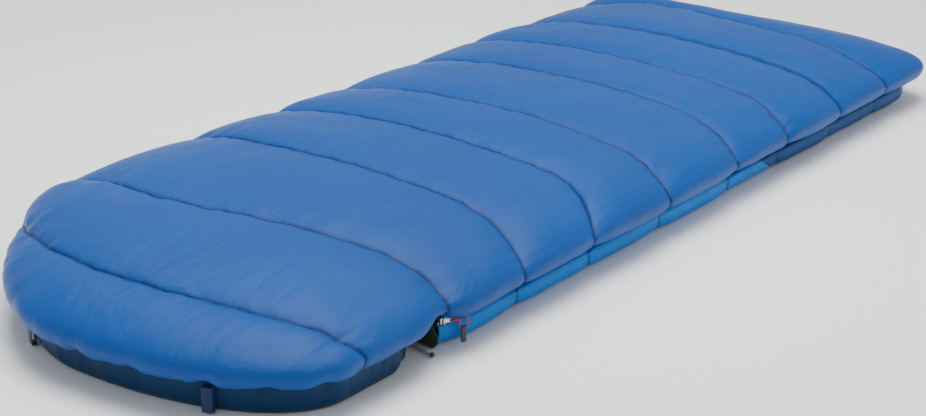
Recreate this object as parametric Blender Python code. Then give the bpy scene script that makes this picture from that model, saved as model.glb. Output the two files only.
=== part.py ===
"""A hooded camp quilt: a zip-open padded quilt closed as a bed-sized bag and laid face down.

The back half, with its hood, lies on the front half. They are sewn together along the fold on
the +Y side and zipped together along the -Y side and around the foot. Metres, +Z up, the head
towards -X, and the origin on the ground under the middle of the quilt.
"""

import math

import bmesh
import bpy
from mathutils import Matrix, Vector

# Driving dimensions: the crease is the line around the quilt where its two halves meet.
CREASE_LENGTH = 2.168
CREASE_WIDTH = 0.820
CREASE_HEIGHT = 0.049
TOTAL_HEIGHT = 0.166
BULGE = 0.043  # how far the padded back stands out past the crease
BULGE_RISE = 0.014  # from the crease up to the widest part of the bulge

# Outline of the crease: a round head that lies fuller on the zip side, and a nearly square foot.
ZIP_HEAD_DEPTH = 0.193
ZIP_HEAD_FULLNESS = 2.02
FOLD_HEAD_FULLNESS = 1.60
FOOT_DEPTH = 0.114
FOOT_FULLNESS = 3.9
HEAD_STEPS = 12
FOOT_STEPS = 9

# Cross-section of the padded back.
BACK_FULLNESS_ACROSS = 2.04
BACK_FULLNESS_UP = 2.13
BACK_UNDER_ANGLES = (0, 30, 60)
BACK_TOP_ANGLES = (0, 12, 24, 36, 48, 60, 72)
CEILING = (  # inset, and rise above the sewn edge, of the lining over the sleeping space
    (0.0560, 0.0000),
    (0.0640, 0.0160),
    (0.0800, 0.0340),
    (0.1050, 0.0520),
    (0.1350, 0.0620),
    (0.1700, 0.0660),
)

# Cloth, wadding and sewing clearances.
SHELL_CLOTH = 0.0015
LINING_CLOTH = 0.0012
CLEARANCE = 0.0005
SEAM_GAP = 0.0012  # between the wadding of two chambers, where the quilting is stitched
ZIP_GAP = 0.012  # height of the open strip along the crease, where the zip lies
EDGE_INSET = 0.0058  # from the crease line to the shells' sewn edges
LINING_INSET = 0.0088

# Quilting: distance of each seam from the head end of the crease. The hood's own seam slants.
HOOD_SEAM = 0.072  # where it crosses the middle of the quilt
HOOD_SLANT = 0.262  # how far it moves towards the foot for each metre towards the zip
QUILTING = (0.406, 0.660, 0.884, 1.102, 1.350, 1.567, 1.761, 1.965)
NECK = 0.414  # neck edge of the front half, from the head end of the crease
FOOT_PANEL = 1.520  # where the dark foot panel of the front half begins

# Hood rim: the padded roll that turns under around the face opening.
RIM_END = 0.352  # zip-side end of the rim, from the head end of the crease
RIM_WIDTH = 0.083
RIM_NECK_GAP = 0.0062
FOLD_HEAD_DEPTH = NECK - RIM_NECK_GAP  # the fold side's arc runs all the way to the neck

# Drawcord and its tunnel.
CORD_DIAMETER = 0.0040
TUNNEL_CLOTH = 0.0012
TUNNEL_LIFT = 0.0080

# Zip. Its middle plane stands upright in the crease, one row of coil above the other.
ZIP_INSET = 0.0070  # from the crease line to the middle plane of the zip
TAPE_THICKNESS = 0.0010
TAPE_WIDTH = 0.0040
TAPE_GAP = 0.0003
COIL_RADIUS = 0.0011
COIL_OFFSET = 0.0024  # from the crease up or down to the middle of each coil
CHAIN_START = 0.0060  # from the neck edge to the first turn of the front coil
SLIDER_PARK = 0.030  # length of chain above the closed zip, where the slider is parked
ZIP_LAP = 0.100  # the zip ends this far up the fold side of the foot
DRAFT_WIDTH = 0.037
DRAFT_THICKNESS = 0.0106

# Slider and the pull on it.
SLIDER_LENGTH = 0.020
SLIDER_HEIGHT = 0.0104
SLIDER_WALL = 0.0014
SLIDER_NOSE = 0.005
SLIDER_MARGIN = 0.0004
PIN_RADIUS = 0.0009
PIN_STANDOFF = 0.0023
PULL_SWING = math.radians(30)  # the pull lies out from the side by this angle
TAB_LENGTH = 0.0130
TAB_HEIGHT = 0.0060
TAB_THICKNESS = 0.0016
STRAP_LENGTH = 0.0165
STRAP_HEIGHT = 0.0034
STRAP_SLOT = 0.0037
STRAP_CLOTH = 0.0010
RING_WIDTH = 0.017
RING_HEIGHT = 0.024
RING_WIRE = 0.0030
RING_CORNER = 0.0035
GRIP_LENGTH = 0.029
GRIP_WIDTH = 0.0080
GRIP_THICKNESS = 0.0036
GRIP_EYE = 0.0033

# Hang loops of folded webbing on the hood. Each place counts steps around the head from its tip,
# towards the zip where it is positive.
LOOP_PLACES = {"zip_side": 5.5, "fold_side": -2.6}
LOOP_WIDTH = 0.018
LOOP_DROP = 0.041
LOOP_SLOT = 0.0064
LOOP_WEBBING = 0.0014
LOOP_TOP = 0.045
LOOP_STANDOFF = 0.0056

# Cord lock: a barrel that stands on the ground, with a sprung plunger.
LOCK_RADIUS = 0.0075
LOCK_HEIGHT = 0.0207
LOCK_BASE = 0.0008
LOCK_WALL = 0.0016
LOCK_RUNNING = 0.0004
LOCK_TRAVEL = 0.0035
LOCK_CORD_HEIGHT = 0.0115
PLUNGER_FOOT = 0.0016
PLUNGER_BUTTON = 0.0040  # how far the button stands above the barrel
SPRING_WIRE = 0.0004
SPRING_TURNS = 3
END_BEAD_RADIUS = 0.0042

HALF_WIDTH = CREASE_WIDTH / 2
HEAD_X = -CREASE_LENGTH / 2
FOOT_X = CREASE_LENGTH / 2
NECK_X = HEAD_X + NECK
BACK_EDGE_Z = CREASE_HEIGHT + ZIP_GAP / 2
FRONT_EDGE_Z = CREASE_HEIGHT - ZIP_GAP / 2
WIDEST_Z = CREASE_HEIGHT + BULGE_RISE

DARK_BLUE = (0.008, 0.115, 0.380)
SHADE_BLUE = (0.006, 0.080, 0.260)
LIGHT_BLUE = (0.010, 0.210, 0.620)
LINING_GREEN = (0.014, 0.060, 0.035)
WADDING = (0.800, 0.800, 0.780)
RED = (0.520, 0.020, 0.016)
GRIP_GREY = (0.055, 0.045, 0.060)
METAL = (0.550, 0.550, 0.560)
CORD_GREY = (0.420, 0.430, 0.400)


def material(name, color, roughness, metallic=0.0):
    """One Principled finish, made once and shared by the parts that have it."""
    found = bpy.data.materials.get(name)
    if found:
        return found
    made = bpy.data.materials.new(name)
    made.use_nodes = True
    shader = made.node_tree.nodes["Principled BSDF"]
    shader.inputs["Base Color"].default_value = (*color, 1.0)
    shader.inputs["Roughness"].default_value = roughness
    shader.inputs["Metallic"].default_value = metallic
    return made


def add_part(name, mesh, finish, smooth=True):
    """Puts a finished bmesh into the scene as one named part."""
    bmesh.ops.recalc_face_normals(mesh, faces=mesh.faces)
    data = bpy.data.meshes.new(name)
    mesh.to_mesh(data)
    mesh.free()
    if smooth:
        data.shade_smooth()
        data.set_sharp_from_angle(angle=math.radians(40))
    data.materials.append(finish)
    part = bpy.data.objects.new(name, data)
    bpy.context.scene.collection.objects.link(part)
    return part


def joint_empty(name, place):
    """An empty on a joint's axis, which carries the pieces that move about it."""
    empty = bpy.data.objects.new(name, None)
    empty.location = place
    bpy.context.scene.collection.objects.link(empty)
    return empty


def carry(empty, *parts):
    """Parents parts to a joint's empty and leaves them where they are."""
    for part in parts:
        part.parent = empty
        part.matrix_parent_inverse = Matrix.Translation(-empty.location)


# The outline of the crease, moved in by an inset (or out, where the inset is negative).


def head_arc(inset, side=-1):
    """Half of the round head, from its tip to the -Y side or, where side is 1, the +Y side."""
    full_depth = ZIP_HEAD_DEPTH if side < 0 else FOLD_HEAD_DEPTH
    power = 2 / (ZIP_HEAD_FULLNESS if side < 0 else FOLD_HEAD_FULLNESS)
    half = HALF_WIDTH - inset
    depth = full_depth * half / HALF_WIDTH
    arc = []
    for step in range(HEAD_STEPS + 1):
        turn = step / HEAD_STEPS * math.pi / 2
        along = depth * max(math.cos(turn), 0.0) ** power
        across = half * math.sin(turn) ** power
        arc.append((HEAD_X + inset + depth - along, side * across))
    return arc


def foot_arc(inset):
    """Half of the foot end, from the -Y side to the middle of the foot."""
    half = HALF_WIDTH - inset
    depth = FOOT_DEPTH * half / HALF_WIDTH
    power = 2 / FOOT_FULLNESS
    arc = []
    for step in range(FOOT_STEPS + 1):
        turn = (1 - step / FOOT_STEPS) * math.pi / 2
        along = depth * max(math.cos(turn), 0.0) ** power
        across = half * math.sin(turn) ** power
        arc.append((FOOT_X - inset - depth + along, -across))
    return arc


def mirrored(points):
    """The same points on the +Y side, in the opposite order."""
    return [(x, -y) for x, y in reversed(points)]


def whole_outline(inset):
    """The closed outline of the back half."""
    foot = foot_arc(inset) + mirrored(foot_arc(inset))[1:]
    return head_arc(inset) + foot + head_arc(inset, 1)[:0:-1]


def front_outline(inset):
    """The closed outline of the front half, which stops at a straight neck edge."""
    right = [(NECK_X + inset, -(HALF_WIDTH - inset))] + foot_arc(inset)
    return right[:-1] + mirrored(right)


def zip_path(start):
    """A path maker for the zip: down the -Y side from start and around the foot."""

    def path(inset):
        side = [(start, -(HALF_WIDTH - inset))]
        foot = foot_arc(inset)
        lap = [(foot[0][0] - ZIP_LAP, HALF_WIDTH - inset)]
        return side + foot[:-1] + mirrored(foot) + lap

    return path


def rim_path(inset):
    """The hood rim's path, from its zip-side end around the head to the fold side."""
    right_end = (HEAD_X + RIM_END, -(HALF_WIDTH - inset))
    return [right_end] + head_arc(inset)[:0:-1] + head_arc(inset, 1)


def fold_path(inset):
    """The straight fold side, from the neck to the end of the zip."""
    zip_end = foot_arc(inset)[0][0] - ZIP_LAP
    return [(NECK_X + LINING_INSET, HALF_WIDTH - inset), (zip_end - 0.001, HALF_WIDTH - inset)]


def loft(rings):
    """A closed solid through closed rings of points, with its two end rings capped."""
    mesh = bmesh.new()
    loops = [[mesh.verts.new(point) for point in ring] for ring in rings]
    for low, high in zip(loops, loops[1:]):
        for index in range(len(low)):
            after = (index + 1) % len(low)
            mesh.faces.new((low[index], low[after], high[after], high[index]))
    mesh.faces.new(loops[0])
    mesh.faces.new(loops[-1])
    return mesh


def pillow(outline, profile):
    """A solid whose level rings follow an outline: profile lists (inset, height)."""
    return loft([[(x, y, height) for x, y in outline(inset)] for inset, height in profile])


def sweep(path, profile):
    """A solid strip along an open path: profile is the closed outline of its section."""
    sides = [[(x, y, height) for x, y in path(inset)] for inset, height in profile]
    return loft([list(ring) for ring in zip(*sides)])


def circle_profile(inset, height, radius, count, first=0.0, last=360.0):
    """Points of an arc in a section; a whole circle leaves out its repeated last point."""
    spans = count if last - first >= 360.0 else count - 1
    turns = [math.radians(first + (last - first) * step / spans) for step in range(count)]
    return [(inset + radius * math.cos(a), height + radius * math.sin(a)) for a in turns]


def cut_into_chambers(mesh, stops):
    """Copies of a padded solid cut between each pair of stops: where each crosses y = 0, and its slant."""
    chambers = []
    for start, end in zip(stops, stops[1:]):
        chamber = mesh.copy()
        for (place, slant), outward in ((start, -1), (end, 1)):
            across = Vector((1.0, slant, 0.0)).normalized()
            geometry = chamber.verts[:] + chamber.edges[:] + chamber.faces[:]
            cut = bmesh.ops.bisect_plane(
                chamber,
                geom=geometry,
                plane_co=Vector((place, 0, 0)) - across * outward * SEAM_GAP / 2,
                plane_no=across * outward,
                clear_outer=True,
            )
            rim = [item for item in cut["geom_cut"] if isinstance(item, bmesh.types.BMEdge)]
            if rim:
                bmesh.ops.contextual_create(chamber, geom=rim)
        chambers.append(chamber)
    mesh.free()
    return chambers


def straight_stops(places):
    """Stops for seams that run straight across."""
    return [(place, 0.0) for place in places]


def box(low, high):
    """A box between two corners."""
    mesh = bmesh.new()
    size = Vector(high) - Vector(low)
    middle = (Vector(high) + Vector(low)) / 2
    shape = Matrix.Translation(middle) @ Matrix.Diagonal((*size, 1.0))
    bmesh.ops.create_cube(mesh, size=1.0, matrix=shape)
    return mesh


def cut_away(part, cutters):
    """Cuts boxes or other closed meshes out of a part."""
    for number, mesh in enumerate(cutters):
        cutter = add_part(f"cutter_{part.name}_{number}", mesh, part.active_material, False)
        cutter.hide_render = True
        cutter.display_type = "WIRE"
        modifier = part.modifiers.new(f"cut_{number}", "BOOLEAN")
        modifier.operation = "DIFFERENCE"
        modifier.solver = "EXACT"
        modifier.object = cutter


# Back half: the dark quilted shell with the hood, its wadding and its lining.


def back_profile(offset):
    """The back's section, from its sewn edge over the bulge to the crown, moved in by offset."""
    widest = HALF_WIDTH + BULGE - offset
    edge = HALF_WIDTH - EDGE_INSET
    edge_z = BACK_EDGE_Z + offset
    points = []
    for degrees in BACK_UNDER_ANGLES:
        turn = math.radians(degrees)
        across = edge + (widest - edge) * math.sin(turn)
        points.append((across, WIDEST_Z - (WIDEST_Z - edge_z) * math.cos(turn)))
    rise = TOTAL_HEIGHT - offset - WIDEST_Z
    flat = math.sin(math.radians(BACK_TOP_ANGLES[-1])) ** (2 / BACK_FULLNESS_UP)
    for degrees in BACK_TOP_ANGLES:
        turn = math.radians(degrees)
        across = widest * math.cos(turn) ** (2 / BACK_FULLNESS_ACROSS)
        points.append((across, WIDEST_Z + rise * math.sin(turn) ** (2 / BACK_FULLNESS_UP) / flat))
    return [(HALF_WIDTH - across, height) for across, height in points]


def ceiling(offset):
    """The lining's section, from over the middle of the sleeping space out to its sewn edge."""
    floor = BACK_EDGE_Z + CLEARANCE + offset
    arch = [(inset - offset, floor + rise) for inset, rise in reversed(CEILING)]
    return arch + [(LINING_INSET, floor)]


def make_back_half():
    """The shell, ten chambers of wadding, and the lining."""
    shell_finish = material("dark_blue_shell", DARK_BLUE, 0.42)
    lining_finish = material("green_lining", LINING_GREEN, 0.60)
    wadding_finish = material("wadding", WADDING, 0.95)
    outer = back_profile(0.0)
    inner = back_profile(SHELL_CLOTH)
    parts = [add_part("back_shell", pillow(whole_outline, inner[::-1] + outer), shell_finish)]
    lining = ceiling(LINING_CLOTH) + ceiling(0.0)[::-1]
    parts.append(add_part("back_lining", pillow(whole_outline, lining), lining_finish))
    wall = back_profile(SHELL_CLOTH + CLEARANCE)[len(BACK_UNDER_ANGLES) - 1 :]
    wadding = pillow(whole_outline, ceiling(LINING_CLOTH + CLEARANCE) + wall)
    stops = straight_stops([HEAD_X + seam for seam in QUILTING] + [FOOT_X + 1.0])
    stops = [(HEAD_X - 1.0, 0.0), (HEAD_X + HOOD_SEAM, HOOD_SLANT)] + stops
    for number, chamber in enumerate(cut_into_chambers(wadding, stops), start=1):
        parts.append(add_part(f"back_wadding_{number:02d}", chamber, wadding_finish))
    return parts


# Front half: the light shell panel, the dark foot panel, wadding, lining and the neck binding.

FRONT_PROFILE = (  # inset and height of the front shell, from its sewn edge to the ground
    (EDGE_INSET - SHELL_CLOTH, FRONT_EDGE_Z),
    (0.0000, 0.0370),
    (-0.0040, 0.0270),
    (-0.0010, 0.0150),
    (0.0110, 0.0050),
    (0.0340, 0.0000),
)


def front_shell_solid():
    """The whole front shell, an open tray, before it is cut into its two panels."""
    inner = [(inset + SHELL_CLOTH, max(height, SHELL_CLOTH)) for inset, height in FRONT_PROFILE]
    return pillow(front_outline, inner[::-1] + list(FRONT_PROFILE))


def make_front_half():
    """The two shell panels, the wadding of each chamber, the lining and the neck binding."""
    light = material("light_blue_shell", LIGHT_BLUE, 0.42)
    dark = material("dark_blue_shell", DARK_BLUE, 0.42)
    lining_finish = material("green_lining", LINING_GREEN, 0.60)
    wadding_finish = material("wadding", WADDING, 0.95)
    panel_stops = straight_stops([NECK_X - 1.0, HEAD_X + FOOT_PANEL, FOOT_X + 1.0])
    panels = cut_into_chambers(front_shell_solid(), panel_stops)
    parts = [
        add_part("front_shell_panel", panels[0], light),
        add_part("front_foot_panel", panels[1], dark),
    ]
    lining = [(LINING_INSET, FRONT_EDGE_Z - LINING_CLOTH), (LINING_INSET, FRONT_EDGE_Z)]
    parts.append(add_part("front_lining", pillow(front_outline, lining), lining_finish))
    inside = SHELL_CLOTH + CLEARANCE
    body = [(inset + inside + 0.001, max(height, inside)) for inset, height in FRONT_PROFILE[1:]]
    top = (LINING_INSET, FRONT_EDGE_Z - LINING_CLOTH - CLEARANCE)
    wadding = pillow(front_outline, [top] + body)
    seams = [HEAD_X + seam for seam in QUILTING if seam > NECK + 0.1]
    stops = straight_stops([NECK_X - 1.0] + seams + [FOOT_X + 1.0])
    for number, chamber in enumerate(cut_into_chambers(wadding, stops), start=1):
        parts.append(add_part(f"front_wadding_{number:02d}", chamber, wadding_finish))
    parts.append(neck_binding(dark))
    return parts


def neck_binding(finish):
    """The rolled binding that finishes the front half's neck edge."""
    radius = 0.0022
    place = NECK_X + EDGE_INSET - SHELL_CLOTH / 2
    height = FRONT_EDGE_Z + CLEARANCE + radius
    half = HALF_WIDTH - LINING_INSET - 0.004

    def across(inset):
        return [(place + inset, -half), (place + inset, half)]

    section = [(inset, height + rise) for inset, rise in circle_profile(0, 0, radius, 10)]
    return add_part("neck_binding", sweep(across, section), finish)


def make_fold_gusset():
    """The narrow strip of shell cloth that joins the two halves along the fold."""
    outer = ZIP_INSET - SHELL_CLOTH / 2
    low = FRONT_EDGE_Z + CLEARANCE
    high = BACK_EDGE_Z - CLEARANCE
    section = [
        (outer, low),
        (outer, high),
        (outer + SHELL_CLOTH, high),
        (outer + SHELL_CLOTH, low),
    ]
    finish = material("dark_blue_shell", DARK_BLUE, 0.42)
    return add_part("fold_gusset", sweep(fold_path, section), finish, False)


# Hood rim: the roll around the face opening, with its drawcord tunnel and cord.


def make_hood_rim():
    """The rim's cover, its wadding roll in lining cloth, the cord tunnel and the cord."""
    cover_finish = material("shaded_blue_shell", SHADE_BLUE, 0.42)
    lining_finish = material("green_lining", LINING_GREEN, 0.60)
    cord_finish = material("drawcord", CORD_GREY, 0.70)
    top = BACK_EDGE_Z - CLEARANCE
    cloth = SHELL_CLOTH
    outside = [
        (EDGE_INSET, top),
        (-0.0020, 0.0430),
        (-0.0050, 0.0290),
        (-0.0010, 0.0120),
        (0.0100, 0.0000),
        (RIM_WIDTH - 0.0060, 0.0000),
        (RIM_WIDTH, 0.0055),
    ]
    inside = [
        (RIM_WIDTH - 0.0026, 0.0062),
        (RIM_WIDTH - 0.0066, cloth),
        (0.0106, cloth),
        (cloth - 0.0010, 0.0126),
        (cloth - 0.0050, 0.0300),
        (cloth - 0.0020, 0.0456),
        (EDGE_INSET + cloth, top),
    ]
    cover = add_part("hood_rim_cover", sweep(rim_path, outside + inside), cover_finish)
    roll = [
        (LINING_INSET, top - 0.0020),
        (0.0010, 0.0450),
        (-0.0028, 0.0300),
        (0.0015, 0.0132),
        (0.0112, cloth + CLEARANCE),
        (RIM_WIDTH - 0.0075, cloth + CLEARANCE),
        (RIM_WIDTH - 0.0045, 0.0075),
        (0.0600, 0.0300),
        (0.0350, 0.0500),
    ]
    padding = add_part("hood_rim_padding", sweep(rim_path, roll), lining_finish)
    reach = CORD_DIAMETER / 2 + CLEARANCE
    middle = RIM_WIDTH + CLEARANCE + TUNNEL_CLOTH + reach
    outer_arc = circle_profile(middle, TUNNEL_LIFT, reach + TUNNEL_CLOTH, 12, 80, 400)
    inner_arc = circle_profile(middle, TUNNEL_LIFT, reach, 12, 80, 400)
    hem = sweep(rim_path, outer_arc + inner_arc[::-1])
    tunnel = add_part("drawcord_tunnel", hem, cover_finish)
    cord_section = circle_profile(middle, TUNNEL_LIFT, CORD_DIAMETER / 2, 8)
    cord = add_part("hood_drawcord", sweep(rim_path, cord_section), cord_finish)
    return [cover, padding, tunnel, cord]


# Drawcord tail: the free end that comes out at the neck, with its lock and end bead.

TAIL_ROUTE = (  # offsets from the tunnel's zip-side end: along, towards the zip, height
    (0.0009, 0.0000, 0.0080),
    (0.0034, 0.0001, 0.0083),
    (0.0070, 0.0007, 0.0104),
    (0.0120, 0.0018, 0.0115),
    (0.0290, 0.0060, 0.0115),
    (0.0375, 0.0105, 0.0108),
    (0.0435, 0.0190, 0.0086),
    (0.0470, 0.0310, 0.0058),
    (0.0480, 0.0440, 0.0036),
    (0.0470, 0.0580, 0.0028),
    (0.0445, 0.0720, 0.0028),
    (0.0410, 0.0860, 0.0028),
)
LOCK_ON_ROUTE = 3  # the lock sits between this point of the route and the next


def smooth_route(points, steps):
    """A Catmull-Rom curve through hand-placed points."""
    extended = [points[0] * 2 - points[1], *points, points[-1] * 2 - points[-2]]
    route = []
    for a, b, c, d in zip(extended, extended[1:], extended[2:], extended[3:]):
        for step in range(steps):
            t = step / steps
            route.append(
                0.5
                * (2 * b + (c - a) * t + (2 * a - 5 * b + 4 * c - d) * t**2)
                + 0.5 * (3 * b - a - 3 * c + d) * t**3
            )
    route.append(points[-1])
    return route


def tail_exit():
    """The point where the drawcord leaves its tunnel."""
    reach = CORD_DIAMETER / 2 + CLEARANCE
    inset = RIM_WIDTH + CLEARANCE + TUNNEL_CLOTH + reach
    return Vector((HEAD_X + RIM_END, -(HALF_WIDTH - inset), 0.0))


def make_cord_tail():
    """The cord's free tail as a round tube with capped ends, and the bead on its end."""
    start = tail_exit()
    points = [start + Vector((along, -out, height)) for along, out, height in TAIL_ROUTE]
    curve = bpy.data.curves.new("drawcord_tail", "CURVE")
    curve.dimensions = "3D"
    curve.bevel_depth = CORD_DIAMETER / 2
    curve.bevel_resolution = 2
    curve.use_fill_caps = True
    route = smooth_route(points, 2)
    line = curve.splines.new("POLY")
    line.points.add(len(route) - 1)
    for point, place in zip(line.points, route):
        point.co = (*place, 1.0)
    curve.materials.append(material("drawcord", CORD_GREY, 0.70))
    tail = bpy.data.objects.new("drawcord_tail", curve)
    bpy.context.scene.collection.objects.link(tail)
    heading = (points[-1] - points[-2]).normalized()
    place = points[-1] + heading * (END_BEAD_RADIUS + CLEARANCE)
    place.z = END_BEAD_RADIUS + CLEARANCE
    ball = bmesh.new()
    bmesh.ops.create_uvsphere(
        ball,
        u_segments=12,
        v_segments=8,
        radius=END_BEAD_RADIUS,
        matrix=Matrix.Translation(place),
    )
    bead = add_part("drawcord_end_bead", ball, material("grip_grey", GRIP_GREY, 0.45))
    across = (points[LOCK_ON_ROUTE + 1] - points[LOCK_ON_ROUTE]).to_2d().normalized()
    middle = (points[LOCK_ON_ROUTE] + points[LOCK_ON_ROUTE + 1]) / 2
    return [tail, bead], middle, math.atan2(across.y, across.x)


def upright_cylinder(place, radius, low, high, count=24):
    """A closed upright cylinder about a place in plan."""
    mesh = bmesh.new()
    middle = Matrix.Translation((place.x, place.y, (low + high) / 2))
    bmesh.ops.create_cone(
        mesh,
        cap_ends=True,
        segments=count,
        radius1=radius,
        radius2=radius,
        depth=high - low,
        matrix=middle,
    )
    return mesh


def turned_box(place, turn, size, low, high):
    """A box centred on a place in plan and turned about Z."""
    length, width = size
    shape = Matrix.Translation((place.x, place.y, (low + high) / 2))
    shape = shape @ Matrix.Rotation(turn, 4, "Z") @ Matrix.Diagonal((length, width, high - low, 1))
    mesh = bmesh.new()
    bmesh.ops.create_cube(mesh, size=1.0, matrix=shape)
    return mesh


def make_cord_lock(middle, turn):
    """The lock's barrel, its plunger, and the spring that pushes the plunger up."""
    grey = material("grip_grey", GRIP_GREY, 0.45)
    red = material("red_trim", RED, 0.45)
    steel = material("bright_metal", METAL, 0.30, 1.0)
    bore = LOCK_RADIUS - LOCK_WALL - 0.0006
    floor = LOCK_BASE + LOCK_WALL
    top = LOCK_BASE + LOCK_HEIGHT
    cord_reach = CORD_DIAMETER / 2 + LOCK_RUNNING
    outline = upright_cylinder(middle, LOCK_RADIUS, LOCK_BASE, top)
    barrel = add_part("cord_lock_barrel", outline, grey)
    eye = turned_box(
        middle,
        turn,
        (4 * LOCK_RADIUS, 2 * cord_reach),
        LOCK_CORD_HEIGHT - cord_reach,
        LOCK_CORD_HEIGHT + cord_reach,
    )
    cut_away(barrel, [upright_cylinder(middle, bore, floor, top + LOCK_RADIUS), eye])
    slot_low = LOCK_CORD_HEIGHT - cord_reach
    slot_high = LOCK_CORD_HEIGHT + cord_reach + LOCK_TRAVEL
    foot = slot_low - PLUNGER_FOOT
    button = top + PLUNGER_BUTTON
    stem = upright_cylinder(middle, bore - LOCK_RUNNING, foot, button)
    plunger = add_part("cord_lock_plunger", stem, red)
    slot = turned_box(middle, turn, (4 * LOCK_RADIUS, 2 * cord_reach), slot_low, slot_high)
    cut_away(plunger, [slot])
    spring = make_spring(middle, bore - 4 * SPRING_WIRE, floor, foot, steel)
    hinge = joint_empty("cord_lock_press", Vector((middle.x, middle.y, top)))
    carry(hinge, plunger)
    return [barrel, spring, hinge]


def make_spring(place, radius, low, high, finish):
    """A small round-wire compression spring between two heights."""
    steps = SPRING_TURNS * 10
    lift = SPRING_WIRE / 2 + CLEARANCE / 2
    curve = bpy.data.curves.new("cord_lock_spring", "CURVE")
    curve.dimensions = "3D"
    curve.bevel_depth = SPRING_WIRE / 2
    curve.bevel_resolution = 1
    curve.use_fill_caps = True
    line = curve.splines.new("POLY")
    line.points.add(steps)
    for step, point in enumerate(line.points):
        turn = step / steps * SPRING_TURNS * 2 * math.pi
        height = low + lift + (high - low - 2 * lift) * step / steps
        place_x = place.x + radius * math.cos(turn)
        place_y = place.y + radius * math.sin(turn)
        point.co = (place_x, place_y, height, 1.0)
    curve.materials.append(finish)
    spring = bpy.data.objects.new("cord_lock_spring", curve)
    bpy.context.scene.collection.objects.link(spring)
    return spring


# Zip: a tape and a coil on each half, the stop, the draft tube, and the slider with its pull.


def chain_start():
    """Where the front half's coil begins."""
    return NECK_X + CHAIN_START


def make_zip_side(name, start, side):
    """One half of the zip: side is 1 for the back half's tape, above, and -1 for the front's."""
    tape_finish = material("zip_tape", SHADE_BLUE, 0.80)
    coil_finish = material("zip_coil", SHADE_BLUE, 0.35)
    coil_z = CREASE_HEIGHT + side * COIL_OFFSET
    coil = circle_profile(ZIP_INSET, coil_z, COIL_RADIUS, 8)
    near = coil_z + side * (COIL_RADIUS + TAPE_GAP)
    far = near + side * TAPE_WIDTH
    half = TAPE_THICKNESS / 2
    tape = [
        (ZIP_INSET - half, near),
        (ZIP_INSET - half, far),
        (ZIP_INSET + half, far),
        (ZIP_INSET + half, near),
    ]
    return [
        add_part(f"{name}_zip_tape", sweep(zip_path(start), tape), tape_finish, False),
        add_part(f"{name}_zip_coil", sweep(zip_path(start), coil), coil_finish),
    ]


def make_draft_tube():
    """The flat wadded tube behind the zip, sewn to the back half's lining."""
    height = BACK_EDGE_Z - DRAFT_THICKNESS / 2
    middle = ZIP_INSET + 0.006 + DRAFT_WIDTH / 2
    section = []
    for inset, rise in circle_profile(0, 0, 1.0, 10):
        section.append((middle + inset * DRAFT_WIDTH / 2, height + rise * DRAFT_THICKNESS / 2))
    finish = material("green_lining", LINING_GREEN, 0.60)
    return add_part("draft_tube", sweep(zip_path(chain_start() + SLIDER_PARK), section), finish)


def make_zip_stop():
    """The metal stop crimped on the front chain's first turn."""
    end = chain_start() - TAPE_GAP
    middle = -(HALF_WIDTH - ZIP_INSET)
    low = (end - 0.0024, middle - 0.0014, CREASE_HEIGHT - COIL_OFFSET - 0.0014)
    high = (end, middle + 0.0014, CREASE_HEIGHT - COIL_OFFSET + 0.0014)
    return add_part("zip_stop", box(low, high), material("bright_metal", METAL, 0.30, 1.0), False)


def inset_box(start, end, insets, heights):
    """A box on the zip side, given along X, by inset from the crease line and by height."""
    near, far = insets
    low = (start, -(HALF_WIDTH - near), heights[0])
    high = (end, -(HALF_WIDTH - far), heights[1])
    return box(low, high)


def make_slider():
    """The slider: two plates joined by a nose, with room for both coils and both tapes."""
    start = chain_start() + 0.002
    end = start + SLIDER_LENGTH
    past = 0.002
    room = COIL_RADIUS + SLIDER_MARGIN
    half = SLIDER_HEIGHT / 2
    plates = (ZIP_INSET - room - SLIDER_WALL, ZIP_INSET + room + SLIDER_WALL)
    heights = (CREASE_HEIGHT - half, CREASE_HEIGHT + half)
    body = inset_box(start, end, plates, heights)
    slider = add_part("zip_slider", body, material("bright_metal", METAL, 0.30, 1.0), False)
    channel = (ZIP_INSET - room, ZIP_INSET + room)
    slot = TAPE_THICKNESS / 2 + TAPE_GAP
    outer = COIL_OFFSET + room
    inner = COIL_OFFSET - room
    tape = (ZIP_INSET - slot, ZIP_INSET + slot)
    cuts = [
        inset_box(
            start + SLIDER_NOSE, end + past, channel, (CREASE_HEIGHT - outer, CREASE_HEIGHT + outer)
        )
    ]
    for side in (-1, 1):
        rows = sorted((CREASE_HEIGHT + side * inner, CREASE_HEIGHT + side * outer))
        slots = sorted((CREASE_HEIGHT + side * (outer - 0.0002), CREASE_HEIGHT + side * (half + past)))
        cuts.append(inset_box(start - past, end + past, channel, rows))
        cuts.append(inset_box(start - past, end + past, tape, slots))
    cut_away(slider, cuts)
    add_pull_lugs(slider, start, plates[0])
    return slider, pin_place(start, plates[0])


def pin_place(start, face):
    """The middle of the pull's pin."""
    return Vector((start + 0.006, -(HALF_WIDTH - face) - PIN_STANDOFF, CREASE_HEIGHT))


def add_pull_lugs(slider, start, face):
    """Two lugs on the slider's outer plate with the pull's upright pin between them."""
    place = pin_place(start, face)
    lug = (SLIDER_HEIGHT - TAB_HEIGHT) / 2 - TAPE_GAP
    for side in (-1, 1):
        heights = sorted((
            CREASE_HEIGHT + side * SLIDER_HEIGHT / 2,
            CREASE_HEIGHT + side * (SLIDER_HEIGHT / 2 - lug),
        ))
        low = (place.x - 0.0022, place.y - 0.0018, heights[0])
        high = (place.x + 0.0022, -(HALF_WIDTH - face) + SLIDER_WALL / 2, heights[1])
        join(slider, box(low, high), f"lug_{side}")
    reach = SLIDER_HEIGHT / 2 - lug / 2
    pin = upright_cylinder(place, PIN_RADIUS, CREASE_HEIGHT - reach, CREASE_HEIGHT + reach, 12)
    join(slider, pin, "pin")


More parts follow.
